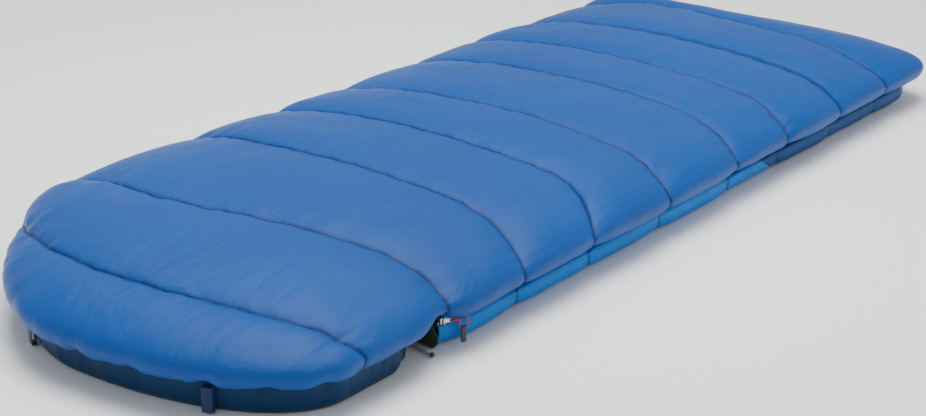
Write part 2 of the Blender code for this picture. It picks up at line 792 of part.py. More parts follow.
def join(part, mesh, label):
    """Joins a closed mesh to a part with a Boolean union."""
    tool = add_part(f"joined_{part.name}_{label}", mesh, part.active_material, False)
    tool.hide_render = True
    tool.display_type = "WIRE"
    modifier = part.modifiers.new(f"join_{label}", "BOOLEAN")
    modifier.operation = "UNION"
    modifier.solver = "EXACT"
    modifier.object = tool


def moved(mesh, matrix):
    """A mesh moved by a matrix."""
    bmesh.ops.transform(mesh, matrix=matrix, verts=mesh.verts)
    return mesh


def band(outline, low, high):
    """A closed outline in X and Y raised between two heights."""
    return loft([[(x, y, height) for x, y in outline] for height in (low, high)])


def stadium(start, end, radius, count=6):
    """A long round-ended outline along X."""
    right = [math.radians(-90 + 180 * step / count) for step in range(count + 1)]
    left = [math.radians(90 + 180 * step / count) for step in range(count + 1)]
    outline = [(end + radius * math.cos(a), radius * math.sin(a)) for a in right]
    return outline + [(start + radius * math.cos(a), radius * math.sin(a)) for a in left]


def make_pull(pin):
    """The metal tab, the red strap and ring, and the grip, laid out along +X and swung out."""
    steel = material("bright_metal", METAL, 0.30, 1.0)
    red = material("red_trim", RED, 0.45)
    place = Matrix.Translation(pin) @ Matrix.Rotation(-PULL_SWING, 4, "Z")
    half = TAB_HEIGHT / 2
    thin = TAB_THICKNESS / 2
    eye_radius = PIN_RADIUS + TAPE_GAP
    tab = band(stadium(0.0, 0.0, PIN_STANDOFF - TAPE_GAP, 8), -half, half)
    slider_tab = add_part("pull_tab", moved(tab, place), steel)
    blade = box((0.0, -thin, -half), (TAB_LENGTH, thin, half))
    join(slider_tab, moved(blade, place), "blade")
    eye = upright_cylinder(Vector((0, 0, 0)), eye_radius, -0.01, 0.01, 12)
    window_low = -STRAP_HEIGHT / 2 - TAPE_GAP
    bar = TAB_LENGTH - 0.0018
    window = box((bar - 0.0026, -0.004, window_low), (bar, 0.004, -window_low))
    cut_away(slider_tab, [moved(eye, place), moved(window, place)])
    strap_start = bar - 0.0012
    strap_radius = STRAP_SLOT / 2 + STRAP_CLOTH
    outer = stadium(strap_start + STRAP_SLOT / 2, strap_start + STRAP_LENGTH, strap_radius)
    strap_mesh = band(outer, -STRAP_HEIGHT / 2, STRAP_HEIGHT / 2)
    strap = add_part("pull_strap", moved(strap_mesh, place), red)
    inner = stadium(strap_start + STRAP_SLOT / 2, strap_start + STRAP_LENGTH, STRAP_SLOT / 2)
    cut_away(strap, [moved(band(inner, -0.01, 0.01), place)])
    ring_left = strap_start + STRAP_LENGTH + STRAP_SLOT / 2 - RING_WIRE / 2 - TAPE_GAP
    ring_middle = Vector((ring_left + (RING_WIDTH - RING_WIRE) / 2, 0, -0.0060))
    ring = add_part("pull_ring", moved(ring_mesh(ring_middle), place), red)
    foot = ring_middle - Vector((0, 0, (RING_HEIGHT - RING_WIRE) / 2))
    grip, hinge = make_grip(place, foot)
    pivot = joint_empty("pull_swing", pin)
    carry(pivot, slider_tab, strap, ring, hinge)
    return pivot


def ring_mesh(middle):
    """A rounded rectangular ring of round wire, standing in the XZ plane."""
    across = (RING_WIDTH - RING_WIRE) / 2 - RING_CORNER
    upward = (RING_HEIGHT - RING_WIRE) / 2 - RING_CORNER
    corners = ((across, upward, 0), (-across, upward, 90), (-across, -upward, 180), (across, -upward, 270))
    centres = []
    for x, z, first in corners:
        for step in range(4):
            turn = math.radians(first + 30 * step)
            out = Vector((math.cos(turn), 0, math.sin(turn)))
            centres.append((middle + Vector((x, 0, z)) + out * RING_CORNER, out))
    mesh = bmesh.new()
    rings = []
    for centre, out in centres:
        ring = []
        for step in range(8):
            turn = step / 8 * 2 * math.pi
            away = out * math.cos(turn) + Vector((0, math.sin(turn), 0))
            ring.append(mesh.verts.new(centre + away * RING_WIRE / 2))
        rings.append(ring)
    for low, high in zip(rings, rings[1:] + rings[:1]):
        for index in range(8):
            after = (index + 1) % 8
            mesh.faces.new((low[index], low[after], high[after], high[index]))
    return mesh


def make_grip(place, foot):
    """The moulded grip, which hangs from the ring's lower bar."""
    reach = GRIP_LENGTH - GRIP_EYE
    half = GRIP_THICKNESS / 2
    outline = circle_profile(0, 0, GRIP_EYE, 10, -30, 210)
    outline += [(-half, -reach + 0.001), (-half + 0.001, -reach), (half - 0.001, -reach), (half, -reach + 0.001)]
    mesh = loft([[(x, y, z) for y, z in outline] for x in (-GRIP_WIDTH / 2, GRIP_WIDTH / 2)])
    middle = place @ Matrix.Translation(foot)
    grip = add_part("pull_grip", moved(mesh, middle), material("grip_grey", GRIP_GREY, 0.45))
    hole = bmesh.new()
    bmesh.ops.create_cone(
        hole,
        cap_ends=True,
        segments=16,
        radius1=RING_WIRE / 2 + TAPE_GAP,
        radius2=RING_WIRE / 2 + TAPE_GAP,
        depth=2 * GRIP_WIDTH,
        matrix=Matrix.Rotation(math.pi / 2, 4, "Y"),
    )
    cut_away(grip, [moved(hole, middle)])
    hinge = joint_empty("grip_swing", middle.translation)
    carry(hinge, grip)
    return grip, hinge


# Hang loops.


def head_frame(place, inset, height):
    """A frame against the side of the head: X along it, Y outwards and Z up."""
    arc = head_arc(inset, -1 if place > 0 else 1)
    step = int(abs(place))
    start, end = (Vector(point) for point in arc[step : step + 2])
    point = start.lerp(end, abs(place) - step)
    tangent = (end - start).normalized()
    outward = Vector((-abs(tangent.y), math.copysign(tangent.x, -place)))
    along = Vector((outward.y, -outward.x))
    return Matrix((
        (along.x, outward.x, 0, point.x),
        (along.y, outward.y, 0, point.y),
        (0, 0, 1, height),
        (0, 0, 0, 1),
    ))


def make_hang_loop(name, place):
    """A loop of folded webbing that hangs against the rim, hinged at its sewn top edge."""
    thick = LOOP_SLOT + 2 * LOOP_WEBBING
    outer = [(0, 0), (thick, 0), (thick, -LOOP_DROP), (0, -LOOP_DROP)]
    cloth = LOOP_WEBBING
    inner = [
        (cloth, -cloth),
        (thick - cloth, -cloth),
        (thick - cloth, -LOOP_DROP + cloth),
        (cloth, -LOOP_DROP + cloth),
    ]
    frame = head_frame(place, -LOOP_STANDOFF, LOOP_TOP)
    ends = (-LOOP_WIDTH / 2, LOOP_WIDTH / 2)
    body = moved(loft([[(x, y, z) for y, z in outer] for x in ends]), frame)
    loop = add_part(f"hang_loop_{name}", body, material("dark_blue_shell", DARK_BLUE, 0.42), False)
    cut_away(loop, [moved(loft([[(2 * x, y, z) for y, z in inner] for x in ends]), frame)])
    hinge = joint_empty(f"loop_swing_{name}", frame.translation)
    carry(hinge, loop)
    return hinge


def main():
    """Builds the quilt."""
    for item in list(bpy.data.objects):
        bpy.data.objects.remove(item)
    back = make_back_half() + make_hood_rim()
    make_front_half()
    make_fold_gusset()
    tail, lock_middle, lock_turn = make_cord_tail()
    back += tail + make_cord_lock(lock_middle, lock_turn)
    back += make_zip_side("back", chain_start() + SLIDER_PARK, 1)
    back.append(make_draft_tube())
    make_zip_side("front", chain_start(), -1)
    make_zip_stop()
    slider, pin = make_slider()
    pull = make_pull(pin)
    slide = joint_empty("slider_travel", pin)
    carry(slide, slider, pull)
    for name, place in LOOP_PLACES.items():
        back.append(make_hang_loop(name, place))
    fold = joint_empty("quilt_open", Vector((0, HALF_WIDTH + BULGE + 0.001, TOTAL_HEIGHT / 2 + 0.001)))
    carry(fold, *back)


main()
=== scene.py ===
"""Looks of a hooded camp quilt that lies face down: padded cloth, zip, pull, cords and loops."""

import math

import bmesh
import bpy
from mathutils import Matrix, Vector, noise


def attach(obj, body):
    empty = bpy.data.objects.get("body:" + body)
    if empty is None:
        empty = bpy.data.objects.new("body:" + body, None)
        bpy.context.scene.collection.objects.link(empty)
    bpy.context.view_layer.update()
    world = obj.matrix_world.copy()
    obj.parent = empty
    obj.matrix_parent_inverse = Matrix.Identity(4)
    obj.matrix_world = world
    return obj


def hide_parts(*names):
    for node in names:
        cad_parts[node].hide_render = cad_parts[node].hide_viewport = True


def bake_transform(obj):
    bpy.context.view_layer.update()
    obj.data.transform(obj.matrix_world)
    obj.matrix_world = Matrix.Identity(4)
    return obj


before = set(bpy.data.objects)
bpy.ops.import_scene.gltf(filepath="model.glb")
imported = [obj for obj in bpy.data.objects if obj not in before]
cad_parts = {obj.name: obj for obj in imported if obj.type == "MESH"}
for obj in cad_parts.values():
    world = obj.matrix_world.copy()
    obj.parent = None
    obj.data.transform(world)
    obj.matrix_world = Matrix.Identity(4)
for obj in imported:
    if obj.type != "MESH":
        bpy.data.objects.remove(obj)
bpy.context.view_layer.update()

# Camera: a long lens near the head end, a little above the quilt.

EYE = Vector((-2.548, -1.936, 1.198))
LOOK_AT = Vector((-0.2501, -0.1243, 0.0482))
LENS = 65.56
ROLL_DEGREES = 0.52

lens = bpy.data.cameras.new("camera")
lens.lens = LENS
lens.sensor_width = 36.0
lens.clip_start = 0.05
camera = bpy.data.objects.new("camera", lens)
bpy.context.scene.collection.objects.link(camera)
aim = (LOOK_AT - EYE).to_track_quat("-Z", "Y").to_matrix().to_4x4()
roll = Matrix.Rotation(math.radians(ROLL_DEGREES), 4, "Z")
camera.matrix_world = Matrix.Translation(EYE) @ aim @ roll
bpy.context.scene.camera = camera


def link_mesh(name, mesh):
    """The finished mesh as an object at the origin, with smooth faces."""
    for face in mesh.faces:
        face.smooth = True
    data = bpy.data.meshes.new(name)
    mesh.to_mesh(data)
    mesh.free()
    piece = bpy.data.objects.new(name, data)
    bpy.context.scene.collection.objects.link(piece)
    return piece


# Studio: a pale floor that is not part of the quilt, a white surround, and three soft lamps.

FLOOR_SIZE = 12.0
FLOOR_WHITE = (0.86, 0.87, 0.88, 1.0)
LAMPS = (  # name, place, size and power
    ("overhead", (-0.1, 0.1, 3.2), 2.4, 185.0),
    ("head_side", (-3.4, -1.2, 2.4), 1.6, 10.0),
    ("zip_side", (1.0, -3.2, 1.5), 2.2, 20.0),
)
LAMP_AIM = Vector((0, 0, 0.05))
SKY_COLOUR, SKY_STRENGTH = (0.95, 0.97, 1.0, 1.0), 0.60

ground = bmesh.new()
bmesh.ops.create_grid(ground, x_segments=2, y_segments=2, size=FLOOR_SIZE / 2)
floor = link_mesh("studio_floor", ground)
for lamp_name, lamp_place, lamp_size, lamp_power in LAMPS:
    lamp = bpy.data.lights.new(lamp_name, "AREA")
    lamp.size = lamp_size
    lamp.energy = lamp_power
    holder = bpy.data.objects.new(lamp_name, lamp)
    bpy.context.scene.collection.objects.link(holder)
    turn = (LAMP_AIM - Vector(lamp_place)).to_track_quat("-Z", "Y")
    holder.matrix_world = Matrix.Translation(lamp_place) @ turn.to_matrix().to_4x4()
world = bpy.data.worlds.new("surround")
bpy.context.scene.world = world
world.use_nodes = True
sky = world.node_tree.nodes["Background"]
sky.inputs["Color"].default_value = SKY_COLOUR
sky.inputs["Strength"].default_value = SKY_STRENGTH


class Amount:
    """A number on a shader socket; sums written on it add the nodes that work them out."""

    def __init__(self, finish, socket):
        self.finish = finish
        self.socket = socket

    def sum(self, operation, first, second):
        return self.finish.node("ShaderNodeMath", {"operation": operation}, {0: first, 1: second})

    def __add__(self, other):
        return self.sum("ADD", self, other)

    def __radd__(self, other):
        return self.sum("ADD", other, self)

    def __sub__(self, other):
        return self.sum("SUBTRACT", self, other)

    def __rsub__(self, other):
        return self.sum("SUBTRACT", other, self)

    def __mul__(self, other):
        return self.sum("MULTIPLY", self, other)

    def __rmul__(self, other):
        return self.sum("MULTIPLY", other, self)

    def __pow__(self, other):
        return self.sum("POWER", self, other)

    def __gt__(self, other):
        return self.sum("GREATER_THAN", self, other)

    def wave(self):
        return self.sum("SINE", self, 0.0)


class Finish:
    """A material with one Principled shader; node() adds any node and returns one output."""

    SOFT = 0.35  # roughness of every sheen and coat

    def __init__(self, name, colour, roughness, metallic=0.0, sheen=0.0, coat=0.0):
        self.material = bpy.data.materials.new(name)
        self.material.use_nodes = True
        self.tree = self.material.node_tree
        self.shader = self.tree.nodes["Principled BSDF"]
        self.colour = (*colour, 1.0)
        self.shader.inputs["Base Color"].default_value = self.colour
        self.shader.inputs["Roughness"].default_value = roughness
        self.shader.inputs["Metallic"].default_value = metallic
        self.shader.inputs["Sheen Weight"].default_value = sheen
        self.shader.inputs["Sheen Roughness"].default_value = self.SOFT
        self.shader.inputs["Coat Weight"].default_value = coat
        self.shader.inputs["Coat Roughness"].default_value = self.SOFT

    def node(self, kind, settings=None, sockets=None, output=0):
        made = self.tree.nodes.new(kind)
        for name, value in (settings or {}).items():
            setattr(made, name, value)
        for name, value in (sockets or {}).items():
            if isinstance(value, Amount):
                self.tree.links.new(value.socket, made.inputs[name])
            else:
                made.inputs[name].default_value = value
        return Amount(self, made.outputs[output])

    def place(self, axis=None):
        """Object coordinates, or one axis of them as a number."""
        spot = self.node("ShaderNodeTexCoord", output=3)
        if axis is None:
            return spot
        return self.node("ShaderNodeSeparateXYZ", sockets={0: spot}, output=axis)

    def cloud(self, scale, detail=3.0, rough=0.5, stretch=None, warp=0.0):
        """Soft noise from 0 to 1, finer where scale is higher."""
        spot = self.place()
        if stretch:
            spot = self.node("ShaderNodeMapping", sockets={"Vector": spot, "Scale": stretch})
        sockets = {"Vector": spot, "Scale": scale, "Detail": detail}
        sockets.update({"Roughness": rough, "Distortion": warp})
        return self.node("ShaderNodeTexNoise", sockets=sockets)

    def stored(self, name):
        """A number kept on the mesh for each point, such as how near the stitching is."""
        return self.node("ShaderNodeAttribute", {"attribute_name": name}, output=2)

    def mix(self, factor, first, second):
        """Blends two colours."""
        settings = {"data_type": "RGBA"}
        return self.node("ShaderNodeMix", settings, {0: factor, 6: first, 7: second}, 2)

    def shade(self, factor, darkest, lightest):
        """The finish's own colour, from darkest to lightest times itself."""
        first = [part * darkest for part in self.colour[:3]] + [1.0]
        second = [part * lightest for part in self.colour[:3]] + [1.0]
        return self.mix(factor, first, second)

    def bump(self, height, depth, strength=1.0, under=None):
        sockets = {"Height": height, "Distance": depth, "Strength": strength}
        if under:
            sockets["Normal"] = under
        return self.node("ShaderNodeBump", sockets=sockets)

    def feed(self, **parts):
        for name, value in parts.items():
            self.tree.links.new(value.socket, self.shader.inputs[name.replace("_", " ")])

    def on(self, *objects):
        for piece in objects:
            piece.data.materials.clear()
            piece.data.materials.append(self.material)


studio_grey = Finish("studio_paper", FLOOR_WHITE[:3], 0.9)
studio_grey.on(floor)

# Drawcord tail: 4 mm braided polyester that leaves the hood's tunnel at the neck, runs through
# the cord lock and lies on the ground; its sealed end is covered by a small moulded bead.

CORD_GREY = (0.42, 0.47, 0.52)
CORD_WIDTH = 0.0040
TUNNEL_MOUTH = Vector((-0.7320, -0.3213, 0.0))
BRAID_PITCH = 0.0022
TAIL_ROUTE = (  # along, towards the zip, height, from the tunnel's mouth
    (0.0009, 0.0000, 0.0080),
    (0.0034, 0.0001, 0.0083),
    (0.0070, 0.0007, 0.0104),
    (0.0120, 0.0018, 0.0115),
    (0.0290, 0.0060, 0.0115),
    (0.0375, 0.0105, 0.0108),
    (0.0435, 0.0190, 0.0086),
    (0.0470, 0.0310, 0.0058),
    (0.0480, 0.0440, 0.0036),
    (0.0470, 0.0580, 0.0028),
    (0.0445, 0.0720, 0.0028),
    (0.0410, 0.0860, 0.0028),
)


def smooth_route(points, steps):
    """A Catmull-Rom curve through given points."""
    extended = [points[0] * 2 - points[1], *points, points[-1] * 2 - points[-2]]
    route = []
    for a, b, c, d in zip(extended, extended[1:], extended[2:], extended[3:]):
        for step in range(steps):
            t = step / steps
            middle = 2 * b + (c - a) * t + (2 * a - 5 * b + 4 * c - d) * t**2
            route.append(0.5 * middle + 0.5 * (3 * b - a - 3 * c + d) * t**3)
    route.append(points[-1])
    return route


def round_cord(name, route, width):
    """A round cord along a route, as a curve with capped ends."""
    curve = bpy.data.curves.new(name, "CURVE")
    curve.dimensions = "3D"
    curve.bevel_depth = width / 2
    curve.bevel_resolution = 4
    curve.use_fill_caps = True
    line = curve.splines.new("POLY")
    line.points.add(len(route) - 1)
    for point, spot in zip(line.points, route):
        point.co = (*spot, 1.0)
    piece = bpy.data.objects.new(name, curve)
    bpy.context.scene.collection.objects.link(piece)
    return piece


def route_length(route):
    """Length of a route, in metres."""
    return sum((b - a).length for a, b in zip(route, route[1:]))


def braid(name, colour, pitch):
    """Braided cord: two sets of strands that cross, with painted shade where they dip."""
    finish = Finish(name, colour, 0.62, sheen=0.25)
    x, y, z = (finish.place(axis) for axis in range(3))
    turns = 2 * math.pi / pitch
    strands = ((x + y + z) * turns).wave() * ((x - y + z) * turns).wave() * 0.5 + 0.5
    # Painted shade: the strands' colour is darker where they dip under one another.
    finish.feed(Base_Color=finish.shade(strands, 0.55, 1.15))
    finish.feed(Normal=finish.bump(strands, 0.0004, 0.8))
    return finish


cord_braid = braid("drawcord_braid", CORD_GREY, BRAID_PITCH)
tail_points = [TUNNEL_MOUTH + Vector((x, -out, height)) for x, out, height in TAIL_ROUTE]
tail_route = smooth_route(tail_points, 2)
tail = round_cord("drawcord_tail_braid", tail_route, CORD_WIDTH)
cord_braid.on(tail)
end_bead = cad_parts["drawcord_end_bead"]
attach(tail, "back_half")
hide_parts("drawcord_tail")
route_length(tail_route)

# Back half: one big padded cover of shiny blue nylon, quilted across in ten chambers. Each seam
# pulls the cloth down and puckers it, and the cover is gathered where it is sewn to the rim.

HEAD_X, FOOT_X = -1.084, 1.084
HALF = 0.410  # half the width at the crease between the two halves
BULGE = 0.041  # how far the padding swells past the crease
WIDEST_Z = 0.080
CREASE_INSET, CREASE_Z = -0.010, 0.0545
CROWN_Z = 0.166
EDGE_Z = 0.055
EDGE_INSET = 0.0058
HEAD_SHAPES = {  # for each side: depth, fullness and share of arc
    -1: (0.193, 2.02, 0.69),
    1: (0.4078, 1.60, 1.0),
}
FOOT_SHAPE = (0.114, 3.9, 0.62)
ACROSS, UP = 2.04, 2.13  # fullness of the dome, across and up
TOP_SHARE, UNDER_SHARE = 0.80, 0.97  # shares of the section, down to its widest line and crease
SEAMS = (-0.678, -0.424, -0.200, 0.018, 0.266, 0.483, 0.677, 0.881)
SEAM_DRIFTS = (  # drift in the middle, drift for each metre towards the zip, curl by the zip
    (-0.045, 0.20, 0.045),
    (0.000, 0.00, 0.068),
    (0.013, 0.00, 0.105),
    (-0.012, 0.00, 0.050),
    (0.000, 0.00, 0.060),
    (-0.013, 0.00, 0.062),
    (0.000, 0.00, 0.035),
    (0.050, -0.15, 0.000),
)
HOOD_LINE = (  # across and along, points of the hood's own curved seam
    (0.440, -0.830),
    (0.300, -0.925),
    (0.165, -0.975),
    (0.020, -0.997),
    (-0.120, -0.982),
    (-0.270, -0.948),
    (-0.410, -0.905),
    (-0.470, -0.874),
)
HOOD_FADE, FOOT_FADE = -0.90, 1.04  # the seams' drift ends before the hood's seam and the foot
SHELL_BLUE = (0.0, 0.056, 0.255)
CHAMBER_ROWS = 24
HEAD_ROWS, FOOT_ROWS = 84, 80
ROWS_ACROSS = 144
VALLEY = 0.0105  # how far the quilting pulls the cloth down
PUCKER, GATHER = 0.0044, 0.0017
SEAM_CUTS = (-0.012, -0.006, -0.002, 0.0, 0.002, 0.006, 0.012)  # extra edges beside a seam
VALLEY_POWER = 3.2
EDGE_SHARE = 0.30  # share of a valley's depth that is left where the cover is sewn down
STITCH_DIP, STITCH_REACH = 0.25, 0.0045
PUCKER_START, PUCKER_REACH, FINE_REACH = 0.005, 0.030, 0.009
BROAD_SWAY, SMALL_SWAY = 0.0050, 0.0018
GATHER_REACH, TUCK_REACH, TUCK_DEPTH = 0.022, 0.030, 0.0065
CRIMP, FINE_CRIMP = 34.0, 78.0  # gathers for each metre of edge, roughly
SEAM_WIDTH = 0.0040
HEAD_REACH, FOOT_REACH, LEAST_GAP = 0.10, 0.12, 0.04  # how far past a seam its valley runs
NECK_OPENING = -0.695  # middle of the gap at the neck, where the cover is pinched up and in
PINCH_WIDTH, PINCH_IN, PINCH_UP, PINCH_REACH = 0.036, 0.034, 0.010, 0.030
HEAD_TUCKS = (  # angle round the head, in degrees from its tip towards the zip, and strength
    (8.2, 1.0),
    (21.5, 0.7),
    (37.0, 1.3),
    (47.5, 0.9),
    (57.4, 0.8),
    (-14, 0.8),
    (-33, 1.0),
)


def eased(value):
    """0 to 1 with soft ends."""
    value = min(max(value, 0.0), 1.0)
    return value * value * (3 - 2 * value)


def outline_point(inset, share, side, head, start=None):
    """A point of the outline moved in by inset; share runs from the tip, 0, to the side, 1."""
    depth, fullness, arc = HEAD_SHAPES[side] if head else FOOT_SHAPE
    half = HALF - inset
    depth = depth * half / HALF
    start = start or (SEAMS[0] if head else SEAMS[6])
    end = HEAD_X if head else FOOT_X
    tip = end + inset / HALF * (start - end)
    inward = 1 if head else -1
    turn = min(share / arc, 1.0) * math.pi / 2
    cosine, sine = max(math.cos(turn), 0.0), math.sin(turn)
    reach = (cosine**fullness + sine**fullness) ** (-1 / fullness)
    x = tip + inward * depth * (1 - reach * cosine)
    if share > arc:
        x = tip + inward * depth + (start - tip - inward * depth) * (share - arc) / (1 - arc)
    return x, side * half * reach * sine


def ring_place(u, v):
    """A square grid's point on a half disc: how near the edge, and the share from tip to side."""
    across, along = v * math.sqrt(1 - u * u / 2), u * math.sqrt(1 - v * v / 2)
    ring = min(math.hypot(across, along), 1.0)
    share = math.atan2(abs(across), along) / (math.pi / 2) if ring > 0 else 1.0
    return ring, min(share, 1.0)


def pad_surface(section, chamber_rows, head_rows, foot_rows, rows_across):
    """A crowned surface over the outline; section turns a ring, 0 to 1, into inset and height."""
    columns = [("head", 1 - row / head_rows) for row in range(head_rows)]
    for start, end in zip(SEAMS[:6], SEAMS[1:7]):
        for row in range(chamber_rows):
            share = (1 - math.cos(math.pi * row / chamber_rows)) / 2
            columns.append(("body", start + (end - start) * share))
    columns += [("foot", row / foot_rows) for row in range(foot_rows + 1)]
    mesh = bmesh.new()
    last = len(columns) - 1
    bmesh.ops.create_grid(mesh, x_segments=last, y_segments=rows_across, size=1.0)
    for vert in mesh.verts:
        part, along = columns[round((vert.co.x + 1) / 2 * last)]
        v = max(min(vert.co.y, 1.0), -1.0)
        side = -1 if v < 0 else 1
        if part == "body":
            inset, height = section(abs(v))
            vert.co = (along, side * (HALF - inset), height)
        else:
            ring, share = ring_place(along, v)
            inset, height = section(ring)
            vert.co = (*outline_point(inset, share, side, part == "head"), height)
    return mesh


def dome_section(ring):
    """The back's section: the crown at 0, its widest line at TOP_SHARE, its sewn edge at 1."""
    outer = HALF + BULGE
    if ring <= TOP_SHARE:
        turn = ring / TOP_SHARE * math.pi / 2
        inset = HALF - outer * math.sin(turn) ** (2 / ACROSS)
        return inset, WIDEST_Z + (CROWN_Z - WIDEST_Z) * max(math.cos(turn), 0.0) ** (2 / UP)
    if ring <= UNDER_SHARE:
        turn = (ring - TOP_SHARE) / (UNDER_SHARE - TOP_SHARE) * math.pi / 2
        inset = CREASE_INSET - (BULGE + CREASE_INSET) * max(math.cos(turn), 0.0) ** 0.9
        return inset, WIDEST_Z - (WIDEST_Z - CREASE_Z) * math.sin(turn)
    t = (ring - UNDER_SHARE) / (1 - UNDER_SHARE)
    return CREASE_INSET + (EDGE_INSET - CREASE_INSET) * t, CREASE_Z + (EDGE_Z - CREASE_Z) * t


def hood_line(y):
    """Where the hood's seam crosses, that far across the quilt, and how steeply it runs."""
    for (y_a, x_a), (y_b, x_b) in zip(HOOD_LINE, HOOD_LINE[1:]):
        if y >= y_b:
            slope = (x_b - x_a) / (y_b - y_a)
            return x_a + (y - y_a) * slope, slope
    return HOOD_LINE[-1][1], 0.0


def seam_distance(x, y):
    """Distance to the nearest quilting seam, half the chamber's width, and the seam's number."""
    hood, slope = hood_line(y)
    lines = (hood, *SEAMS)
    after = next((number for number, line in enumerate(lines) if line > x), len(lines))
    if after == 0:
        return (hood - x) / math.hypot(1, slope), HEAD_REACH, 0
    if after == len(lines):
        return x - lines[-1], FOOT_REACH, len(lines) - 1
    past, left = x - lines[after - 1], lines[after] - x
    half_gap = max(lines[after] - lines[after - 1], LEAST_GAP) / 2
    if past < left:
        return past / (math.hypot(1, slope) if after == 1 else 1), half_gap, after - 1
    return left, half_gap, after


def drift(number, y):
    """How far one sewn line has moved towards the foot, that far across."""
    middle, slope, curl = SEAM_DRIFTS[number]
    by_zip = min(max((-y - 0.29) / 0.16, 0.0), 1.0) ** 1.5
    return middle - slope * y * eased((0.35 - y) / 0.3) - curl * by_zip


def seam_drift(x, y):
    """The cloth between two sewn lines moves with both."""
    stops = (HOOD_FADE, *SEAMS, FOOT_FADE)
    moves = (0.0, *(drift(number, y) for number in range(len(SEAMS))), 0.0)
    for number, (low, high) in enumerate(zip(stops, stops[1:])):
        if low <= x <= high:
            t = (x - low) / (high - low)
            return moves[number] + (moves[number + 1] - moves[number]) * t
    return 0.0


def ripple(x, y, z, scale, seed):
    """Smooth noise about zero."""
    return noise.noise(Vector((x * scale + seed, y * scale - seed, z * scale)))


def add_hood_edges(mesh, offsets):
    """Cuts edges into the mesh along the hood's curved seam, one straight stretch at a time."""
    for (y_a, x_a), (y_b, x_b) in zip(HOOD_LINE, HOOD_LINE[1:]):
        along = Vector((x_b - x_a, y_b - y_a, 0.0)).normalized()
        normal = Vector((along.y, -along.x, 0.0))
        for offset in offsets:
            near = [face for face in mesh.faces if y_b <= face.calc_center_median().y < y_a]
            edges = {edge for face in near for edge in face.edges}
            verts = {vert for face in near for vert in face.verts}
            spot = Vector((x_a, y_a, 0)) + normal * offset
            geom = list(verts) + list(edges) + near
            bmesh.ops.bisect_plane(mesh, geom=geom, plane_co=spot, plane_no=normal, dist=1e-5)


def add_straight_edges(mesh, place, offsets):
    """Cuts edges into the mesh along a seam that runs straight across."""
    for offset in offsets:
        everything = mesh.verts[:] + mesh.edges[:] + mesh.faces[:]
        spot = Vector((place + offset, 0, 0))
        bmesh.ops.bisect_plane(mesh, geom=everything, plane_co=spot, plane_no=(1, 0, 0), dist=1e-5)


def tuck_pull(x, y, width):
    """How strongly the tucks around the hood's edge pull at a point seen from above."""
    angle = math.degrees(math.atan2(-y, -(x - SEAMS[0])))
    return sum(pull * math.exp(-(((angle - place) / width) ** 2)) for place, pull in HEAD_TUCKS)


def quilted(mesh, valley, pucker, gather, height_top, height_edge, sway=1.0):
    """Pulls the cloth down at its seams, puckers it there, and gathers it at its sewn edge."""
    near_seam = mesh.verts.layers.float.new("seam")
    run = mesh.verts.layers.float.new("run")
    mesh.normal_update()
    moves = []
    for vert in mesh.verts:
        x, y, z = vert.co
        distance, half_gap, number = seam_distance(x, y)
        away = min(distance / half_gap, 1.0)
        up = eased((z - height_edge) / (height_top - height_edge) * 1.7)
        drop = valley * (1 - away) ** VALLEY_POWER * (EDGE_SHARE + (1 - EDGE_SHARE) * up)
        drop += STITCH_DIP * valley * math.exp(-distance / STITCH_REACH)
        folds = ripple(x * 0.22, y, z, 30.0, number * 3.1)
        folds += 0.6 * ripple(x * 0.4, y, z, 71.0, 7.7)
        fade = math.exp(-distance / PUCKER_REACH) * (1 - math.exp(-distance / PUCKER_START))
        drop += pucker * folds * fade
        fine = ripple(x * 0.3, y, z, 150.0, 2.2) * math.exp(-distance / FINE_REACH)
        drop += 0.25 * pucker * fine
        drop += BROAD_SWAY * sway * ripple(x, y * 0.6, z, 4.2, 21.0)
        drop += SMALL_SWAY * sway * ripple(x, y, z, 13.0, 4.0)
        low = math.exp(-abs(z - height_edge) / GATHER_REACH)
        head = eased((-0.62 - x) / 0.25)
        angle = math.atan2(y, x - SEAMS[0]) if x < SEAMS[0] else x / HALF
        crimp = ripple(angle * HALF, 0.0, z * 0.15, CRIMP, 11.0)
        crimp += 0.7 * ripple(angle * HALF, 0.0, z * 0.2, FINE_CRIMP, 5.0)
        drop += gather * crimp * low * (0.6 + 0.9 * head)
        if x < SEAMS[0]:
            reach = math.exp(-abs(z - height_edge) / TUCK_REACH)
            drop += TUCK_DEPTH * tuck_pull(x, y, 1.8) * reach
        moves.append((vert, vert.normal * drop))
        vert[near_seam] = math.exp(-((distance / SEAM_WIDTH) ** 2))
        vert[run] = y
    for vert, move in moves:
        vert.co -= move
    for vert in mesh.verts:
        vert.co.x += seam_drift(vert.co.x, vert.co.y)


def pinch_at_neck(mesh):
    """Pulls the cover in and up at the neck's opening, so that its edge shows above the gap."""
    for vert in mesh.verts:
        x, y, z = vert.co
        if y < -0.25:
            near = math.exp(-(((x - NECK_OPENING) / PINCH_WIDTH) ** 2))
            low = math.exp(-max(z - CREASE_Z, 0.0) / PINCH_REACH)
            vert.co.y += PINCH_IN * near * low
            vert.co.z += PINCH_UP * near * low


NYLON_SPECULAR = 0.16
STITCH_PITCH, THREAD_PITCH = 0.0045, 0.0016
CREASE_DEPTH, CRUMPLE_DEPTH, WEAVE_DEPTH = 0.010, 0.0022, 0.00012


